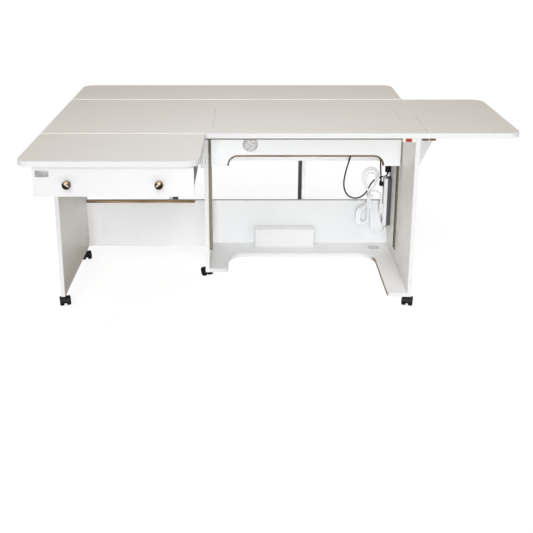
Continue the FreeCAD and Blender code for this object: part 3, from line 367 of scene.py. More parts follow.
# The apron's tone drift is painted light: lighter towards its ends, against the shade beside the panels.
apron_board = board("apron_board", "Y", srgb(234, 237, 241), EDGE, raw=RAW,
                    painted_light=[(APRON_MIDDLE, ALONG_X, 0.20, 0.40, srgb(240, 243, 246))])
# The shelf is near white, lighter than the other white boards: painted light against the shade under the
# worktop.
shelf_board = board("shelf_board", "Z", srgb(250, 251, 252), EDGE, raw=RAW, raw_axis="X")
# The drawer front is darker than the other white boards, as painted shade against the front lamps, and its
# tone drift lighter towards the right is painted light.
front_board = board("front_board", "Y", srgb(213, 213, 214), EDGE, raw=srgb(190, 170, 140),
                    painted_light=[(FAR_LEFT, ALONG_X, 0.2, 0.7, srgb(222, 222, 223))])
# Gates: dark faces as painted shade, and edges lighter than the other edges as painted light.
gate_shade_board = board("gate_shade_board", "X", srgb(88, 84, 78), srgb(240, 242, 246))
bracket_board = board("bracket_board", "Y", srgb(217, 220, 224), EDGE, raw=RAW, raw_sign=1)
grey_board = board("grey_board", "X", srgb(92, 93, 96), GREY_EDGE)
tray_board = board("tray_board", "Z", srgb(104, 104, 107), GREY_EDGE)
# The lid: a white top as painted light, grey sides as painted shade.
lid_painted_light = board("lid_painted_light", "Z", WHITE, srgb(207, 208, 210), gloss=0.35)

# Woods
GRAIN_BATTEN, GRAIN_LIP = (0.25, 5.0, 5.0), (0.4, 6.0, 6.0)
batten_wood = wood("batten_wood", srgb(176, 146, 106), srgb(120, 92, 60), GRAIN_BATTEN)
brown_edge = wood("brown_edge", srgb(142, 122, 94), srgb(104, 87, 65), GRAIN_LIP)
# Dark brown and wood-grained: the painted shadow under the worktop's front edge.
edge_shadow = wood("edge_shadow", srgb(104, 82, 50), srgb(70, 53, 30), GRAIN_LIP)

# Metals
KNOB_APART = 0.170
STRIPE_ACROSS = (-0.62, 0.0, 0.78)
RAIL_LIP = 6.5
knob_low, knob_high = span("drawer_knobs")
knob_middle = (knob_low + knob_high) / 2
rail_low, rail_high = span("lift_rails")
steel = metal("steel", srgb(186, 187, 190), rough=0.3, stretch=(30.0, 1.5, 30.0))
aluminium = metal("aluminium", srgb(176, 177, 179), rough=0.34, stretch=(1.0, 30.0, 30.0))
brass = metal("brass", srgb(196, 160, 92), rough=0.3, stretch=(1.0, 1.0, 20.0))
bronze = turned_metal("bronze", srgb(134, 114, 90), tuple(knob_middle * MM), KNOB_APART, rough=0.2,
                      stripe=STRIPE_ACROSS)
label_metal = frosted("label_metal", srgb(96, 97, 101), srgb(190, 191, 194), scale=420.0)
badge_metal = frosted("badge_metal", srgb(158, 159, 161), srgb(224, 225, 227), scale=240.0)
rail_shade = shaded_rails("rail_shade", srgb(136, 133, 119), srgb(112, 108, 93), srgb(190, 188, 182),
                           (rail_high.x - RAIL_LIP) * MM)

# Plastics
STRIP_SEAM, HINGE_LIGHT_X = 0.5365, 0.606
white_coat = plastic("white_coat", srgb(240, 239, 236), rough=0.4)
# Past the right leaf's joint the hinges are a lighter tone: painted light over their shaded knuckles.
hinge_coat = split_plastic("hinge_coat", srgb(240, 239, 236), srgb(253, 250, 244), HINGE_LIGHT_X)
black_plastic = plastic("black_plastic", srgb(17, 17, 18), shine=0.25)
black_rubber = plastic("black_rubber", srgb(14, 14, 14), rough=0.72, grain=500.0, relief=0.3, shine=0.2)
white_plastic = plastic("white_plastic", srgb(236, 236, 234), rough=0.38)
box_plastic = plastic("box_plastic", srgb(222, 223, 224), rough=0.45)
pale_plastic = plastic("pale_plastic", srgb(206, 207, 206), rough=0.4)
cream_plastic = plastic("cream_plastic", srgb(228, 221, 200), rough=0.4)
red_plastic = plastic("red_plastic", srgb(178, 22, 26), rough=0.36)
dark_red_plastic = plastic("dark_red_plastic", srgb(112, 36, 34), rough=0.3)
# Black for holes, vents and screw recesses: painted shade.
hole_shade = plastic("hole_shade", srgb(14, 14, 14), rough=0.8)
strip_plastic = split_plastic("strip_plastic", srgb(234, 236, 239), srgb(88, 89, 92), STRIP_SEAM)
white_sheath = plastic("white_sheath", srgb(243, 245, 248), grain=900.0, relief=0.1)
black_sheath = plastic("black_sheath", srgb(15, 18, 18), rough=0.7, grain=900.0, relief=0.1, shine=0.12)
strap = weave("strap", srgb(226, 227, 228))

NODE_MATERIALS = {
    top_board: ["main_top", "front_leaf", "right_leaf", "rear_leaf", "lift_platform"],
    left_board: ["left_panel"],
    middle_board: ["middle_panel"],
    right_board: ["right_panel"],
    back_board: ["modesty_panel"],
    rear_board: ["rear_rail"],
    apron_board: ["lift_apron"],
    shelf_board: ["shelf"],
    front_board: ["drawer_front"],
    gate_shade_board: ["gate_left", "gate_right"],
    bracket_board: ["side_bracket"],
    grey_board: ["drawer_walls"],
    tray_board: ["drawer_bottom"],
    batten_wood: ["rear_batten"],
    rail_shade: ["lift_rails"],
    steel: ["drawer_rails", "drawer_runners", "swing_hinge_plates", "gate_left_fittings",
            "gate_right_fittings", "side_bracket_hinge"],
    white_coat: ["front_leaf_hinge", "rear_leaf_hinge"],
    hinge_coat: ["leaf_hinge_plates", "right_leaf_hinge"],
    bronze: ["drawer_knobs"],
    black_plastic: ["lift_shoes", "control_box", "lift_connector", "switch_plug"]
                   + [f"caster_{name}_hood" for name in CASTERS],
    black_rubber: [f"caster_{name}_wheels" for name in CASTERS],
    box_plastic: ["supply_box"],
    white_plastic: ["mains_plug"],
    pale_plastic: ["cable_grommet"],
    cream_plastic: ["switch_housing"],
    red_plastic: ["switch_rocker"],
    strip_plastic: ["power_strip"],
    badge_metal: ["lift_badge"],
    white_sheath: ["mains_lead", "mains_hank", "plug_lead"],
    black_sheath: ["lift_cable", "switch_cable"],
    strap: ["hank_tie"],
}
for made, names in NODE_MATERIALS.items():
    for name in names:
        nodes[name].data.materials.clear()
        nodes[name].data.materials.append(made)


# Cords: one smooth line each, led by the points of its route
def cord_curve(name, points, diameter, made):
    data = bpy.data.curves.new(name, "CURVE")
    data.dimensions = "3D"
    data.bevel_depth = diameter / 2 * MM
    data.bevel_resolution = 4
    data.resolution_u = 8
    data.use_fill_caps = True
    line = data.splines.new("NURBS")
    line.points.add(len(points) - 1)
    for place, spot in zip(line.points, points):
        place.co = (*[length * MM for length in spot], 1.0)
    line.order_u = 3
    line.use_endpoint_u = True
    data.materials.append(made)
    item = new_object(name, data)
    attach(item, "cabinet")
    return item


LEAD, CABLE = 7.0, 7.2
GLAND_X, STRIP_Y, PLUG_X, SWITCH_X = 537.9, 272.9, 511.63, 505.93
mains_points = [
    (GLAND_X, STRIP_Y, 170), (GLAND_X, STRIP_Y, 152), (529.1, 270.9, 136), (513.8, 267.9, 127),
    (496.1, 263.9, 126), (480.8, 259.9, 135), (471.9, 256.9, 151), (466.9, 255.9, 176), (464.9, 255.9, 214),
    (462.9, 257.9, 246), (458.9, 259.9, 276), (454.5, 260.9, 303),
]
# The hank: each turn is radius and rise of its upper loop, then radius, drop and lean of its lower one
HANK_X, HANK_Y, HANK_Z, WAIST, PITCH = 450.4, 260.9, 332.0, 4.1, 7.8
TURNS = [(23.0, 92.0, 21.5, 121.0, 21.0), (31.5, 97.0, 25.5, 125.0, 24.0), (40.0, 96.0, 28.3, 124.0, 27.0)]
WAIST_OVERLAP = 6
TOP_LEAN = 6.0
CORNER = math.tan(math.pi / 8)
for turn, (top_radius, top_rise, low_radius, low_drop, lean) in enumerate(TURNS):
    depth = HANK_Y + PITCH * turn
    upper = [(WAIST, -WAIST_OVERLAP), (WAIST, 0.2 * top_rise), (0.66 * top_radius, 0.5 * top_rise),
             (top_radius, 0.8 * top_rise), (top_radius, top_rise + CORNER * top_radius),
             (CORNER * top_radius, top_rise + top_radius)]
    for across, rise in upper + [(-across, rise) for across, rise in reversed(upper)]:
        lean_here = TOP_LEAN * min(max(rise / top_rise, 0.0), 1.0)
        mains_points.append((HANK_X + across + lean_here, depth, HANK_Z + rise))
    corner = CORNER * low_radius
    down_side = [(-WAIST, 0.4 * low_drop, 0.0), (-low_radius - lean, 0.6 * low_drop, 0.0),
                 (-low_radius - lean, low_drop, 0.0), (-low_radius - lean, low_drop + corner, 0.0),
                 (-corner - lean, low_drop + low_radius, 0.25)]
    up_side = [(corner - lean, low_drop + low_radius, 0.75), (low_radius - lean, low_drop + corner, 1.0),
               (low_radius - lean, low_drop, 1.0), (low_radius - lean, 0.6 * low_drop, 1.0),
               (WAIST, 0.4 * low_drop, 1.0)]
    if turn == len(TURNS) - 1:
        up_side = up_side[:2]
    for across, drop, step in down_side + up_side:
        mains_points.append((HANK_X + across, depth + PITCH * step, HANK_Z - drop))
mains_points += [
    (448.7, 284.3, 214), (448.7, 284.3, 236), (448.7, 288.3, 274), (448.7, 288.3, 331),
    (467.1, 284.3, 349.4), (493.2, 278.3, 349.4), (PLUG_X, STRIP_Y, 330.9), (PLUG_X, STRIP_Y, 287.9),
]
lift_points = [
    (382.4, 294.9, 713), (382.4, 294.9, 673), (378.4, 294.9, 618), (367.4, 294.9, 558), (352.4, 294.9, 500),
    (336.4, 294.9, 443), (327.4, 294.9, 385), (335.4, 294.9, 339), (364.4, 294.9, 309), (404.4, 294.9, 306),
    (438.4, 294.9, 331), (456.4, 296.9, 371), (475.4, 299.9, 400), (510.4, 302.9, 413), (529.4, 305.9, 415),
    (538.9, 305.9, 420), (543.4, 305.9, 429), (543.4, 305.9, 439),
]
switch_points = [
    (506.4, STRIP_Y, 713), (506.4, STRIP_Y, 673), (504.4, STRIP_Y, 618), (502.9, STRIP_Y, 563),
    (500.9, STRIP_Y, 513), (501.9, STRIP_Y, 468), (SWITCH_X, STRIP_Y, 430.1), (SWITCH_X, STRIP_Y, 396.1),
]
mains_cord = cord_curve("mains_cord", mains_points, LEAD, white_sheath)
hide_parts("mains_lead", "mains_hank", "plug_lead")
lift_cord = cord_curve("lift_cord", lift_points, CABLE, black_sheath)
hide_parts("lift_cable")
switch_cord = cord_curve("switch_cord", switch_points, CABLE, black_sheath)
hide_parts("switch_cable")


# Mesh pieces
def piece(name, mesh, body, *materials, slot, angle=35.0):
    data = bpy.data.meshes.new(name)
    bmesh.ops.recalc_face_normals(mesh, faces=mesh.faces)
    mesh.to_mesh(data)
    mesh.free()
    for face in data.polygons:
        face.use_smooth = True
    data.set_sharp_from_angle(angle=math.radians(angle))
    for made in materials:
        data.materials.append(made)
    item = new_object(name, data)
    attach(item, body)
    return item


def towards(axis):
    """The turn that takes +Z to an axis."""
    return Vector(UP).rotation_difference(Vector(axis)).to_matrix().to_4x4()


def lathe(mesh, profile, at, axis=UP, count=28):
    """A turned form: pairs of radius and height, from at along axis."""
    place = Matrix.Translation(Vector(at) * MM) @ towards(axis)
    rings = []
    for radius, height in profile:
        if radius == 0:
            rings.append([mesh.verts.new(place @ Vector((0, 0, height * MM)))])
            continue
        ring = []
        for step in range(count):
            angle = step * math.tau / count
            spot = Vector((radius * math.cos(angle), radius * math.sin(angle), height)) * MM
            ring.append(mesh.verts.new(place @ spot))
        rings.append(ring)
    for low, high in zip(rings, rings[1:]):
        for step in range(count):
            after = (step + 1) % count
            corners = [low[step % len(low)], low[after % len(low)],
                       high[after % len(high)], high[step % len(high)]]
            mesh.faces.new(list(dict.fromkeys(corners)))


def block(mesh, low, high, edge=0.5, material=0):
    """A block with rounded edges, from its lowest to its highest corner."""
    middle = [(first + last) / 2 * MM for first, last in zip(low, high)]
    size = [(last - first) * MM for first, last in zip(low, high)]
    place = Matrix.Translation(middle) @ Matrix.Diagonal((*size, 1.0))
    cube = bmesh.ops.create_cube(mesh, size=1.0, matrix=place)
    edges = list({line for vert in cube["verts"] for line in vert.link_edges})
    faces = {face for vert in cube["verts"] for face in vert.link_faces}
    if edge:
        rounded = bmesh.ops.bevel(mesh, geom=edges, offset=edge * MM, segments=2, profile=0.5,
                                  affect="EDGES")
        faces |= set(rounded["faces"])
    for face in faces:
        if face.is_valid:
            face.material_index = material


def sweep(mesh, path, inner, outer, front, rear):
    """A band along a path of (x, z), between two offsets to its left, from front to rear in y."""
    rows = []
    for step, (x, z) in enumerate(path):
        before, after = path[max(step - 1, 0)], path[min(step + 1, len(path) - 1)]
        forward = Vector((after[0] - before[0], after[1] - before[1])).normalized()
        left = Vector((-forward.y, forward.x))
        rows.append([mesh.verts.new(((x + left.x * offset) * MM, y * MM, (z + left.y * offset) * MM))
                     for offset, y in ((inner, front), (outer, front), (outer, rear), (inner, rear))])
    for row, following in zip(rows, rows[1:]):
        for side in range(4):
            mesh.faces.new((row[side], row[side - 1], following[side - 1], following[side]))
    mesh.faces.new(rows[0])
    mesh.faces.new(list(reversed(rows[-1])))


def screw(mesh, at, axis, radius):
    """A countersunk head with a cross recess, a flat black cross of painted shade."""
    lathe(mesh, [(radius, -0.4), (radius, 0.15), (radius * 0.86, 0.5), (0, 0.55)], at, axis, count=20)
    place = Matrix.Translation(Vector(at) * MM) @ towards(axis)
    recess_level = 0.58
    for length, width in ((radius * 1.1, radius * 0.24), (radius * 0.24, radius * 1.1)):
        verts = [mesh.verts.new(place @ (Vector((length / 2 * x, width / 2 * y, recess_level)) * MM))
                 for x, y in ((-1, -1), (1, -1), (1, 1), (-1, 1))]
        mesh.faces.new(verts).material_index = 1


def screws(name, body, spots, radius):
    mesh = bmesh.new()
    for at, axis in spots:
        screw(mesh, at, axis, radius)
    piece(name, mesh, body, steel, hole_shade, slot="steel")


def boot(name, at, axis, made, slot, cord, length, wide, ribs):
    """A ribbed, tapered sleeve round a cord."""
    bore, narrow = cord / 2 - 0.2, cord / 2 + 0.5
    crest, groove = narrow + 0.7 - wide, narrow - 0.2 - wide
    profile = [(bore, 0.0), (wide, 0.0)]
    for rib in range(ribs):
        start, end = rib / ribs, (rib + 0.62) / ribs
        profile += [(wide + crest * start, length * (start + 0.04)), (wide + crest * end, length * end),
                    (wide + groove * end, length * (end + 0.05)),
                    (wide + groove * end, length * (rib + 0.94) / ribs)]
    profile += [(narrow, length), (bore, length)]
    mesh = bmesh.new()
    lathe(mesh, profile, at, axis, count=24)
    return piece(name, mesh, "cabinet", made, slot=slot)


# Sleeves where the cords leave the strip, the plugs, the connector and the control box
WHITE_BOOT = {"made": white_plastic, "slot": "white_plastic", "cord": LEAD, "length": 24.0, "wide": 6.2,
              "ribs": 5}
BLACK_BOOT = {"made": black_plastic, "slot": "black_plastic", "cord": CABLE, "ribs": 4}
BOOT_SUNK = 0.5
CONTROL_SUNK = 0.3
control_low, control_high = span("control_box")
connector_low, connector_high = span("lift_connector")
connector_middle = (connector_low + connector_high) / 2
strip_low = span("power_strip")[0]
plug_low, plug_high = span("mains_plug")
switch_plug_high = span("switch_plug")[1]
boot("strip_boot", (GLAND_X, STRIP_Y, strip_low.z + 1.0), DOWN, **WHITE_BOOT)
plug_boot = boot("plug_boot", (PLUG_X, STRIP_Y, plug_high.z - BOOT_SUNK), UP, **WHITE_BOOT)
switch_boot = boot("switch_boot", (SWITCH_X, STRIP_Y, switch_plug_high.z - BOOT_SUNK), UP, **BLACK_BOOT,
                   length=20.0, wide=4.9)
lift_boot = boot("lift_boot", (connector_middle.x, connector_middle.y, connector_low.z + BOOT_SUNK), DOWN,
                 **BLACK_BOOT, length=12.0, wide=5.6)
for word, start in (("lift", lift_points[0]), ("switch", switch_points[0])):
    boot(f"control_boot_{word}", (*start[:2], control_low.z + CONTROL_SUNK), DOWN, **BLACK_BOOT,
         length=20.0, wide=6.2)

# The tie round the hank: a strap with its free end on the front
STRAP_MARGIN, STRAP_THICK, STRAP_CORNER, STRAP_END = 3, 1.4, 4.0, 9
CORNER_STEPS = 6
tie_low, tie_high = span("hank_tie")
tie_centre, tie_half = (tie_low + tie_high) / 2, (tie_high - tie_low) / 2
outline = []
for across, depth, start in ((1, -1, -90), (1, 1, 0), (-1, 1, 90), (-1, -1, 180)):
    for step in range(CORNER_STEPS + 1):
        angle = math.radians(start + step * 90 / CORNER_STEPS)
        outline.append((tie_centre.x + across * (tie_half.x - STRAP_CORNER) + STRAP_CORNER * math.cos(angle),
                        tie_centre.y + depth * (tie_half.y - STRAP_CORNER) + STRAP_CORNER * math.sin(angle)))
mesh = bmesh.new()
rims = []
for height in (tie_low.z - STRAP_MARGIN, tie_high.z + STRAP_MARGIN):
    for shrink in (0.0, STRAP_THICK):
        ring = []
        for x, y in outline:
            inward = Vector((x - tie_centre.x, y - tie_centre.y)).normalized() * shrink
            ring.append(mesh.verts.new(((x - inward.x) * MM, (y - inward.y) * MM, height * MM)))
        rims.append(ring)
for first, second in ((0, 2), (3, 1), (1, 0), (2, 3)):
    for step in range(len(outline)):
        after = (step + 1) % len(outline)
        mesh.faces.new((rims[first][step], rims[first][after], rims[second][after], rims[second][step]))
block(mesh, (tie_low.x + 1, tie_low.y - 1.5, tie_low.z - STRAP_MARGIN),
      (tie_high.x + STRAP_END, tie_low.y - 0.1, tie_high.z + STRAP_MARGIN), edge=0.4)
hank_strap = piece("hank_strap", mesh, "cabinet", strap, slot="white_plastic")
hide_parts("hank_tie")

# Drawer: bare label plate with two rivets, knob roses
LABEL_WIDTH, LABEL_HEIGHT, LABEL_INSET, LABEL_DROP, LABEL_THICK = 50.0, 25.0, 11.8, 12.2, 1.2
RIVET = [(1.9, -0.3), (1.9, 0.2), (1.4, 0.7), (0, 0.9)]
RIVET_INSET = 3.6
ROSE = [(9.0, 0.6), (12.2, 0.6), (12.2, 1.2), (10.8, 2.0), (8.6, 2.0)]
KNOB_RADIUS = 16.5
SUNK = 0.2
front_low, front_high = span("drawer_front")
label_left, label_top = front_low.x + LABEL_INSET, front_high.z - LABEL_DROP
label_right, label_foot = label_left + LABEL_WIDTH, label_top - LABEL_HEIGHT
mesh = bmesh.new()
block(mesh, (label_left, front_low.y - LABEL_THICK, label_foot),
      (label_right, front_low.y + SUNK, label_top))
for x in (label_left + RIVET_INSET, label_right - RIVET_INSET):
    lathe(mesh, RIVET, (x, front_low.y - LABEL_THICK, (label_foot + label_top) / 2), FORWARD, count=16)
piece("label_plate", mesh, "drawer", label_metal, slot="silver_disc")
mesh = bmesh.new()
for x in (knob_low.x + KNOB_RADIUS, knob_high.x - KNOB_RADIUS):
    lathe(mesh, ROSE, (x, front_low.y + SUNK, knob_middle.z), FORWARD, count=32)
piece("knob_roses", mesh, "drawer", bronze, slot="dark_nickel")

# Lift: a brown band along the apron's arch, rim of the badge, rail screws
ARCH_FOOT, ARCH_RISE, ARCH_CURVE, ARCH_STEPS = 77.5, 45.0, 42.0, 8
LIP_OUT, LIP_IN, LIP_FACE = -1.8, 0.3, 5.4
LIP_PROUD, LIP_REAR = 0.4, 0.3
BADGE_RIM = [(29.6, -0.2), (30.2, 0.5), (31.6, 0.8), (32.8, 0.5), (33.0, -0.6)]
RAIL_WALL, RAIL_SCREW_FOOT, RAIL_SCREW_HEAD = 2.0, 27, 20
apron_low, apron_high = span("lift_apron")
arch_left, arch_right = apron_low.x + ARCH_FOOT, apron_high.x - ARCH_FOOT
arch_level = apron_low.z + ARCH_RISE - ARCH_CURVE
arch = [(arch_left, apron_low.z + LIP_PROUD)]
for middle, start in ((arch_left + ARCH_CURVE, 180), (arch_right - ARCH_CURVE, 90)):
    for step in range(ARCH_STEPS + 1):
        angle = math.radians(start - step * 90 / ARCH_STEPS)
        arch.append((middle + ARCH_CURVE * math.cos(angle), arch_level + ARCH_CURVE * math.sin(angle)))
arch.append((arch_right, apron_low.z + LIP_PROUD))
mesh = bmesh.new()
sweep(mesh, arch, LIP_OUT, LIP_IN, apron_low.y - LIP_PROUD, apron_high.y + LIP_REAR)
sweep(mesh, arch, LIP_OUT, LIP_FACE, apron_low.y - LIP_PROUD, apron_low.y + LIP_REAR)
piece("apron_arch_band", mesh, "lift", brown_edge, slot="raw_wood", angle=50)
badge_low, badge_high = span("lift_badge")
badge_at = ((badge_low.x + badge_high.x) / 2, badge_low.y, (badge_low.z + badge_high.z) / 2)
mesh = bmesh.new()
lathe(mesh, BADGE_RIM, badge_at, FORWARD, count=64)
piece("badge_rim", mesh, "lift", aluminium, slot="silver_disc", angle=60)
rail_y = (rail_low.y + rail_high.y) / 2
rail_spots = [((x, rail_y, z), axis) for z in (rail_low.z + RAIL_SCREW_FOOT, rail_high.z - RAIL_SCREW_HEAD)
              for x, axis in ((rail_low.x + RAIL_WALL, RIGHT), (rail_high.x - RAIL_WALL, LEFT))]
screws("rail_screws", "cabinet", rail_spots, radius=3.4)

# Dark brown strips under the front edge of the worktop, painted shadow where it overhangs, linings on both
# sides of the lift's well
LIP_BACK, LIP_DEPTH, LIP_ABOVE = 1.2, 4.0, 0.2
FRONT_LIP, CORNER_LIP = 5.0, 9.6
WELL_GAP, WELL_MARGIN, WELL_DEPTH = 1.7, 1.3, 12
LINING_RIGHT, LINING_LEFT = 1.1, 1.0
top_low, top_high = span("main_top")
middle_low, middle_high = span("middle_panel")
right_low, right_high = span("right_panel")
case_low = span("switch_housing")[0]
leaf_low = span("right_leaf")[0]
lips = [("worktop_shadow_strip", "cabinet", middle_high.x + 0.1, case_low.x - 1.0, FRONT_LIP),
        ("corner_shadow_strip_cabinet", "cabinet", right_high.x + 5.2, top_high.x - 0.8, CORNER_LIP),
        ("corner_shadow_strip_right_leaf", "right_leaf", leaf_low.x + 0.8, leaf_low.x + 26.4, CORNER_LIP)]
for name, body, left, right, height in lips:
    mesh = bmesh.new()
    block(mesh, (left, top_low.y + LIP_BACK, top_low.z - height),
          (right, top_low.y + LIP_BACK + LIP_DEPTH, top_low.z + LIP_ABOVE), edge=0.3)
    piece(name, mesh, body, edge_shadow, slot="raw_wood")
well_low, well_high = span("lift_platform")
mesh = bmesh.new()
for left, right, head in ((well_high.x + WELL_GAP - LINING_RIGHT, well_high.x + WELL_GAP, top_high.z - 0.2),
                          (well_low.x - WELL_GAP, well_low.x - WELL_GAP + LINING_LEFT, top_high.z - 0.3)):
    block(mesh, (left, well_low.y - WELL_MARGIN, top_high.z - WELL_DEPTH),
          (right, well_high.y + WELL_MARGIN, head), edge=0.25)
piece("well_lining", mesh, "cabinet", top_board, slot="top_board")

# Screws of the swing hinges: two in each fixed plate, two in each moving one
HINGE_PLATE, PLATE_REACH, PLATE_HALF = 1.5, 20, 20
BARREL_RADIUS, HINGE_HALF, LOW_HINGE = 4.0, 10.0, 30.0
GATE_SCREWS, BRACKET_SCREWS = (16.1, 27.1), (17.6, 27.6)
HINGE_SCREW = 3.0
rear_high = span("rear_rail")[1]
plates_low = span("swing_hinge_plates")[0]
fixed_spots = []
for word, side in (("left", -1), ("right", 1)):
    gate_low, gate_high = span(f"gate_{word}")
    fitting_low, fitting_high = span(f"gate_{word}_fittings")
    axis_x = fitting_low.x + BARREL_RADIUS if side < 0 else fitting_high.x - BARREL_RADIUS
    face_x = gate_low.x - HINGE_PLATE if side < 0 else gate_high.x + HINGE_PLATE
    levels = (plates_low.z + LOW_HINGE, fitting_high.z - HINGE_HALF)
    fixed_spots += [((axis_x + side * PLATE_REACH, rear_high.y + HINGE_PLATE, level + shift), BACKWARD)
                    for level in levels for shift in (-PLATE_HALF, PLATE_HALF)]
    gate_spots = [((face_x, gate_low.y + depth, level), (side, 0, 0))
                  for depth in GATE_SCREWS for level in levels]
    screws(f"gate_{word}_screws", f"gate_{word}", gate_spots, radius=HINGE_SCREW)
bracket_low, bracket_high = span("side_bracket")
knuckle_low, knuckle_high = span("side_bracket_hinge")
levels = (knuckle_low.z + HINGE_HALF, knuckle_high.z - HINGE_HALF)
plate_y = knuckle_high.y - BARREL_RADIUS + PLATE_REACH
fixed_spots += [((right_high.x + HINGE_PLATE, plate_y, level + shift), RIGHT)
                for level in levels for shift in (-PLATE_HALF, PLATE_HALF)]
screws("hinge_screws", "cabinet", fixed_spots, radius=HINGE_SCREW)
bracket_spots = [((bracket_low.x + reach, bracket_high.y + HINGE_PLATE, level), BACKWARD)
                 for reach in BRACKET_SCREWS for level in levels]
screws("bracket_screws", "side_bracket", bracket_spots, radius=HINGE_SCREW)

# A grey strip along the slanted edge of the bracket's face: painted shade of that edge
BRACKET_NOSE, SLANT_SHADE = 15.4, 2.4
mesh = bmesh.new()
slant = [(bracket_low.x + BRACKET_NOSE, bracket_low.z + 0.6),
         (bracket_high.x - 0.4, bracket_high.z - BRACKET_NOSE)]
sweep(mesh, slant, 0.0, SLANT_SHADE, bracket_low.y - 0.3, bracket_low.y + 0.3)
piece("bracket_slant_shade", mesh, "side_bracket", pale_plastic, slot="white_plastic")

# Covers of the board joints: rails, shelf and the fittings inside
RAIL_DEPTH, RAIL_LEVELS = 331, (90, 250, 520, 730)
SHELF_DEPTHS = (-250, -100, 250)
INSIDE_DEPTH, LEFT_LEVELS, MIDDLE_LEVELS = 290, (120, 250, 520, 725), (120, 520, 725)
RIGHT_PLACES = ((235, 520), (110, 640))
COVER = [(7.0, -0.2), (7.0, 0.36), (6.51, 0.72), (0, 0.9)]
left_low, left_high = span("left_panel")
shelf_low, shelf_high = span("shelf")
shelf_middle = (shelf_low.z + shelf_high.z) / 2
cover_spots = [((face, RAIL_DEPTH, z), axis) for face, axis in ((left_low.x, LEFT), (right_high.x, RIGHT))
               for z in RAIL_LEVELS]
cover_spots += [((right_high.x, y, shelf_middle), RIGHT) for y in SHELF_DEPTHS]
cover_spots += [((left_high.x, INSIDE_DEPTH, z), RIGHT) for z in LEFT_LEVELS]
cover_spots += [((right_low.x, y, z), LEFT) for y, z in RIGHT_PLACES]
cover_spots += [((middle_low.x, INSIDE_DEPTH, z), LEFT) for z in MIDDLE_LEVELS]
mesh = bmesh.new()
for at, axis in cover_spots:
    lathe(mesh, COVER, at, axis, count=24)
piece("joint_covers", mesh, "cabinet", white_plastic, slot="white_plastic")

# Angle plates between the panels and the worktop
ANGLE_HALF, ANGLE_THICK, ANGLE_DROP, ANGLE_REACH, ANGLE_GAP = 11, 2.0, 23.0, 22.0, 0.1
ANGLE_SCREW_DROP, ANGLE_SCREW_REACH = 15.0, 13.0
mesh = bmesh.new()
angle_spots = []
for face, places in ((left_high.x, (-60, 160)), (middle_high.x, (150, 260))):
    for y in places:
        for drop, reach in ((ANGLE_DROP, ANGLE_THICK), (ANGLE_THICK, ANGLE_REACH)):
            block(mesh, (face + ANGLE_GAP, y - ANGLE_HALF, top_low.z - drop),
                  (face + reach, y + ANGLE_HALF, top_low.z - ANGLE_GAP), edge=0.4)
        angle_spots += [((face + ANGLE_THICK, y, top_low.z - ANGLE_SCREW_DROP), RIGHT),
                        ((face + ANGLE_SCREW_REACH, y, top_low.z - ANGLE_THICK), DOWN)]
piece("angle_plates", mesh, "cabinet", steel, slot="steel")
screws("angle_plate_screws", "cabinet", angle_spots, radius=2.8)

# Casters: hub covers with spokes on both wheels, a collar round each stem
WHEEL_FACE, STEM_OFFSET = 22.4, 15
HUB = [(14.0, -0.4), (14.0, 0.2), (12.7, 0.7), (12.0, 0.2), (5.4, 0.2), (4.7, 0.8), (0, 1.0)]
COLLAR = [(7.0, -1.8), (9.4, -1.8), (9.8, -1.3), (9.8, -0.1), (7.0, -0.1)]
SPOKES, SPOKE_MIDDLE, SPOKE_LEVEL = 6, 8.6, 0.3
SPOKE_SIZE = Matrix.Diagonal((7.4 * MM, 1.8 * MM, 1.0 * MM, 1.0))
for word, degrees in CASTERS.items():
    wheel_low, wheel_high = span(f"caster_{word}_wheels")
    hub = (wheel_low + wheel_high) / 2
    angle = math.radians(degrees)
    axle = Vector((-math.sin(angle), math.cos(angle), 0))
    mesh = bmesh.new()
    for outward in (-axle, axle):
        face = hub + outward * WHEEL_FACE
        lathe(mesh, HUB, face, outward, count=32)
        centre = Matrix.Translation((face + outward * SPOKE_LEVEL) * MM) @ towards(outward)
        for spoke in range(SPOKES):
            place = centre @ Matrix.Rotation(spoke * math.tau / SPOKES, 4, "Z")
            place = place @ Matrix.Translation((SPOKE_MIDDLE * MM, 0, 0)) @ SPOKE_SIZE
            bmesh.ops.create_cube(mesh, size=1.0, matrix=place)
    piece(f"caster_{word}_hubs", mesh, f"caster_{word}_roll", black_plastic, slot="black_plastic")
    stem = hub - Vector((math.cos(angle), math.sin(angle), 0)) * STEM_OFFSET
    mesh = bmesh.new()
    lathe(mesh, COLLAR, (stem.x, stem.y, left_low.z))
    piece(f"caster_{word}_collar", mesh, "cabinet", steel, slot="steel")

# Bezel of the rocker switch: two posts between a lower and an upper bar
BEZEL_LEFT, BEZEL_RIGHT, BEZEL_GAP, BEZEL_BAR, BEZEL_SLIT = 3.4, 2.2, 0.7, 1.3, 0.1
rocker_low, rocker_high = span("switch_rocker")
bezel_left, bezel_right = rocker_low.x - BEZEL_LEFT, rocker_high.x + BEZEL_RIGHT
post_foot, post_head = rocker_low.z - 0.5, rocker_high.z + 0.9
bars = [(bezel_left, rocker_low.x - BEZEL_GAP, post_foot, post_head),
        (rocker_high.x + BEZEL_GAP, bezel_right, post_foot, post_head),
        (bezel_left, bezel_right, rocker_low.z - BEZEL_BAR, rocker_low.z - BEZEL_SLIT),
        (bezel_left, bezel_right, rocker_high.z + BEZEL_SLIT, rocker_high.z + BEZEL_BAR)]
mesh = bmesh.new()
for left, right, foot, head in bars:
    block(mesh, (left, case_low.y - 0.7, foot), (right, case_low.y + 0.3, head), edge=0.2)
piece("rocker_bezel", mesh, "cabinet", black_plastic, slot="black_plastic")

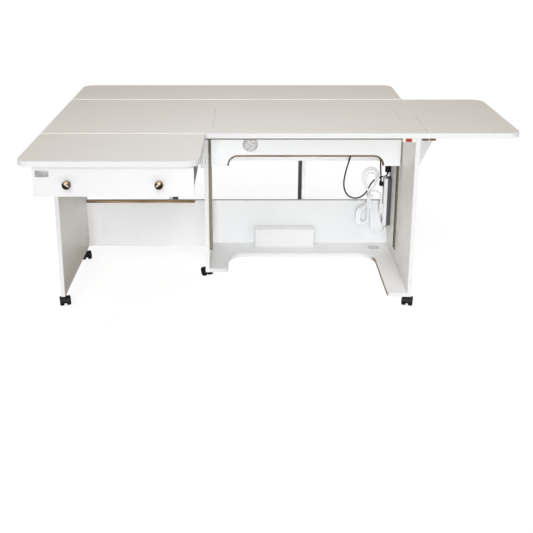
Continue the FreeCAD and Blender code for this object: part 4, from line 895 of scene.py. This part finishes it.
# Power strip: its switch in a frame, the free socket's holes as black discs of painted shade, and its earth
# clips
SWITCH_FOOT, SWITCH_HEAD, SWITCH_HALF, SWITCH_RIM = 25.0, 49.0, 9.5, 2.2
FREE_SOCKET, SOCKET_DEPTH = 157.7, 8.9
PIN_HOLE = [(2.5, 0.0), (2.4, 0.12), (0, 0.14)]
PIN_HALF, CLIP_RADIUS, CLIP_HALF_WIDTH, CLIP_HALF_HEIGHT = 9.5, 17.6, 2.2, 1.2
switch_foot, switch_head = strip_low.z + SWITCH_FOOT, strip_low.z + SWITCH_HEAD
paddle_half = SWITCH_HALF - SWITCH_RIM
mesh = bmesh.new()
block(mesh, (strip_low.x - 0.8, STRIP_Y - SWITCH_HALF, switch_foot),
      (strip_low.x + 0.8, STRIP_Y + SWITCH_HALF, switch_head), edge=0.6, material=1)
block(mesh, (strip_low.x - 2.4, STRIP_Y - paddle_half, switch_foot + SWITCH_RIM),
      (strip_low.x + 0.6, STRIP_Y + paddle_half, switch_head - SWITCH_RIM), edge=1.0)
piece("strip_rocker", mesh, "cabinet", dark_red_plastic, black_plastic, slot="red_plastic")
socket_z, socket_floor = strip_low.z + FREE_SOCKET, strip_low.x + SOCKET_DEPTH
mesh = bmesh.new()
for shift in (-PIN_HALF, PIN_HALF):
    lathe(mesh, PIN_HOLE, (socket_floor, STRIP_Y + shift, socket_z), LEFT, count=18)
piece("socket_holes", mesh, "cabinet", hole_shade, slot="black_plastic")
mesh = bmesh.new()
for level in (socket_z - CLIP_RADIUS, socket_z + CLIP_RADIUS):
    block(mesh, (strip_low.x + 1.2, STRIP_Y - CLIP_HALF_WIDTH, level - CLIP_HALF_HEIGHT),
          (socket_floor - 0.1, STRIP_Y + CLIP_HALF_WIDTH, level + CLIP_HALF_HEIGHT))
piece("socket_clips", mesh, "cabinet", brass, slot="steel")

# Mains plug: grip ribs on its back and sides
GRIPS, GRIP_START, GRIP_STEP, GRIP_HEIGHT, GRIP_MARGIN = 5, 14, 6, 2.2, 4
GRIP_NEAR, GRIP_FAR = 2.5, 13.5
mesh = bmesh.new()
for grip in range(GRIPS):
    foot = plug_low.z + GRIP_START + grip * GRIP_STEP
    head = foot + GRIP_HEIGHT
    block(mesh, (plug_low.x - 0.7, plug_low.y + GRIP_MARGIN, foot),
          (plug_low.x + 0.3, plug_high.y - GRIP_MARGIN, head), edge=0.4)
    for y in (plug_low.y, plug_high.y):
        block(mesh, (plug_low.x + GRIP_NEAR, y - 0.6, foot),
              (plug_low.x + GRIP_FAR, y + 0.6, head), edge=0.4)
piece("plug_grips", mesh, "cabinet", white_plastic, slot="white_plastic")

# White box: its lid, white on top as painted light and grey at the sides as painted shade
LID_OVER, LID_DEPTH = 0.8, 4.5
supply_low, supply_high = span("supply_box")
mesh = bmesh.new()
block(mesh, (supply_low.x - LID_OVER, supply_low.y - LID_OVER, supply_high.z - LID_DEPTH),
      (supply_high.x + LID_OVER, supply_high.y - 0.1, supply_high.z + LID_OVER), edge=1.2)
piece("supply_lid", mesh, "cabinet", lid_painted_light, slot="white_plastic")

# Control box: vents in its back and its underside as black slots of painted shade, corner screws
VENTS, VENT_START, VENT_STEP, VENT_WIDTH, VENT_PROUD, VENT_SUNK = 9, 35, 10, 4, 0.15, 0.2
CONTROL_INSET = 8
mesh = bmesh.new()
for vent in range(VENTS):
    left = control_low.x + VENT_START + vent * VENT_STEP
    right = left + VENT_WIDTH
    block(mesh, (left, control_high.y - VENT_SUNK, control_low.z + 12),
          (right, control_high.y + VENT_PROUD, control_high.z - 10), edge=0)
    block(mesh, (left, control_low.y + 18, control_low.z - VENT_PROUD),
          (right, control_low.y + 44, control_low.z + VENT_SUNK), edge=0)
piece("control_vents", mesh, "cabinet", hole_shade, slot="black_plastic")
control_spots = [((x, y, control_low.z), DOWN)
                 for x in (control_low.x + CONTROL_INSET, control_high.x - CONTROL_INSET)
                 for y in (control_low.y + CONTROL_INSET, control_high.y - CONTROL_INSET)]
screws("control_screws", "cabinet", control_spots, radius=2.6)

# Clips over the cable duct, each with a screwed tongue
CLIP_DEPTHS, CLIP_HALF, CLIP_GAP = (-170, -20, 130), 5, 0.2
CLIP_REACH, CLIP_DROP, TONGUE_NEAR, TONGUE_FAR, TONGUE_DROP, TONGUE_SCREW = 11.8, 10.8, 8.4, 19.4, 2.4, 15.4
clip_head = top_low.z - CLIP_GAP
mesh = bmesh.new()
clip_spots = []
for y in CLIP_DEPTHS:
    block(mesh, (right_low.x - CLIP_REACH, y - CLIP_HALF, top_low.z - CLIP_DROP),
          (right_low.x - CLIP_GAP, y + CLIP_HALF, clip_head), edge=1.2)
    block(mesh, (right_low.x - TONGUE_FAR, y - CLIP_HALF, top_low.z - TONGUE_DROP),
          (right_low.x - TONGUE_NEAR, y + CLIP_HALF, clip_head), edge=0.8)
    clip_spots.append(((right_low.x - TONGUE_SCREW, y, top_low.z - TONGUE_DROP), DOWN))
piece("duct_clips", mesh, "cabinet", white_plastic, slot="white_plastic")
screws("duct_clip_screws", "cabinet", clip_spots, radius=2.2)

# Stage: a pale floor that glows white to the camera and bounces warm light
FLOOR_SEEN = (0.27, 0.27, 0.27, 1.0)
FLOOR_BOUNCE = (0.80, 0.78, 0.76, 1.0)
FLOOR_GLOW = (0.84, 0.84, 0.84, 1.0)
FLOOR_STAIN = (0.5, 0.5, 0.5, 1.0)
BOUNCE_GLOW = 0.657
FLOOR_HALF, FLOOR_DROP = 40.0, 0.0004


def seen_rays(made, rays):
    """1 for what the camera sees straight or through glass."""
    return maths(made, "MAXIMUM", rays["Is Camera Ray"], rays["Is Transmission Ray"])


def stage_material():
    made, coords = new_material("stage_floor", Roughness=0.9, Specular_IOR_Level=0.0,
                                Emission_Color=FLOOR_GLOW)
    rays = add(made, "LightPath").outputs
    seen = seen_rays(made, rays)
    mirrored = rays["Is Glossy Ray"]
    tone = mix(made, maths(made, "MAXIMUM", seen, mirrored), FLOOR_BOUNCE, FLOOR_SEEN)
    tone = mix(made, spread(made, noise(made, coords, scale=1.5), 0.0, 0.02), tone, FLOOR_STAIN)
    to_shader(made, "Base Color", tone)
    glow = spread(made, seen, BOUNCE_GLOW, 1.0, 0.0, 1.0)
    unmirrored = maths(made, "SUBTRACT", 1.0, mirrored)
    to_shader(made, "Emission Strength", maths(made, "MULTIPLY", glow, unmirrored))
    return made


mesh = bmesh.new()
bmesh.ops.create_grid(mesh, x_segments=1, y_segments=1, size=FLOOR_HALF)
floor_data = bpy.data.meshes.new("floor")
mesh.to_mesh(floor_data)
mesh.free()
floor_data.materials.append(stage_material())
floor = new_object("floor", floor_data)
floor.location = (0, 0, -FLOOR_DROP)

# Lamps: soft suns by where they come from, strength and spread in degrees, and a lamp over the table
SUNS = {
    "low_front": ((-0.02, -1.0, 0.09), 1.04, 10),
    "high_front": ((-0.06, -0.80, 0.58), 1.62, 40),
    "overhead": ((0.0, 0.0, 1.0), 0.70, 70),
    "back": ((0.30, 0.60, 0.72), 0.22, 60),
}
for name, (come_from, strength, degrees) in SUNS.items():
    sun = bpy.data.lights.new(name, "SUN")
    sun.energy = strength
    sun.angle = math.radians(degrees)
    new_object(name, sun).rotation_euler = Vector(come_from).to_track_quat("Z", "Y").to_euler()
box_light = bpy.data.lights.new("near_top", "AREA")
box_light.size = 1.2
box_light.energy = 8.0
new_object("near_top", box_light).location = (0.0, -0.9, 3.0)

# World: white to the camera, a weak fill for the shades, brighter towards the zenith in reflections
SKY_FILL, SKY_MIRROR_LOW, SKY_MIRROR_HIGH = 0.075, 0.35, 1.05
world = bpy.data.worlds.new("world")
bpy.context.scene.world = world
world.use_nodes = True
sky = world.node_tree.nodes["Background"]
sky.inputs["Color"].default_value = (1.0, 1.0, 1.0, 1.0)
rays = add(world, "LightPath").outputs
plain = spread(world, seen_rays(world, rays), SKY_FILL, 1.0, 0.0, 1.0)
upward = along(world, add(world, "TexCoord").outputs["Generated"], "Z")
mirrored = spread(world, upward, SKY_MIRROR_LOW, SKY_MIRROR_HIGH, -0.1, 0.6)
chosen = add(world, "Mix", (0, rays["Is Glossy Ray"]), (2, plain), (3, mirrored), data_type="FLOAT")
world.node_tree.links.new(chosen.outputs[0], sky.inputs["Strength"])

bpy.context.scene.view_settings.view_transform = "Standard"

bpy.context.view_layer.update()
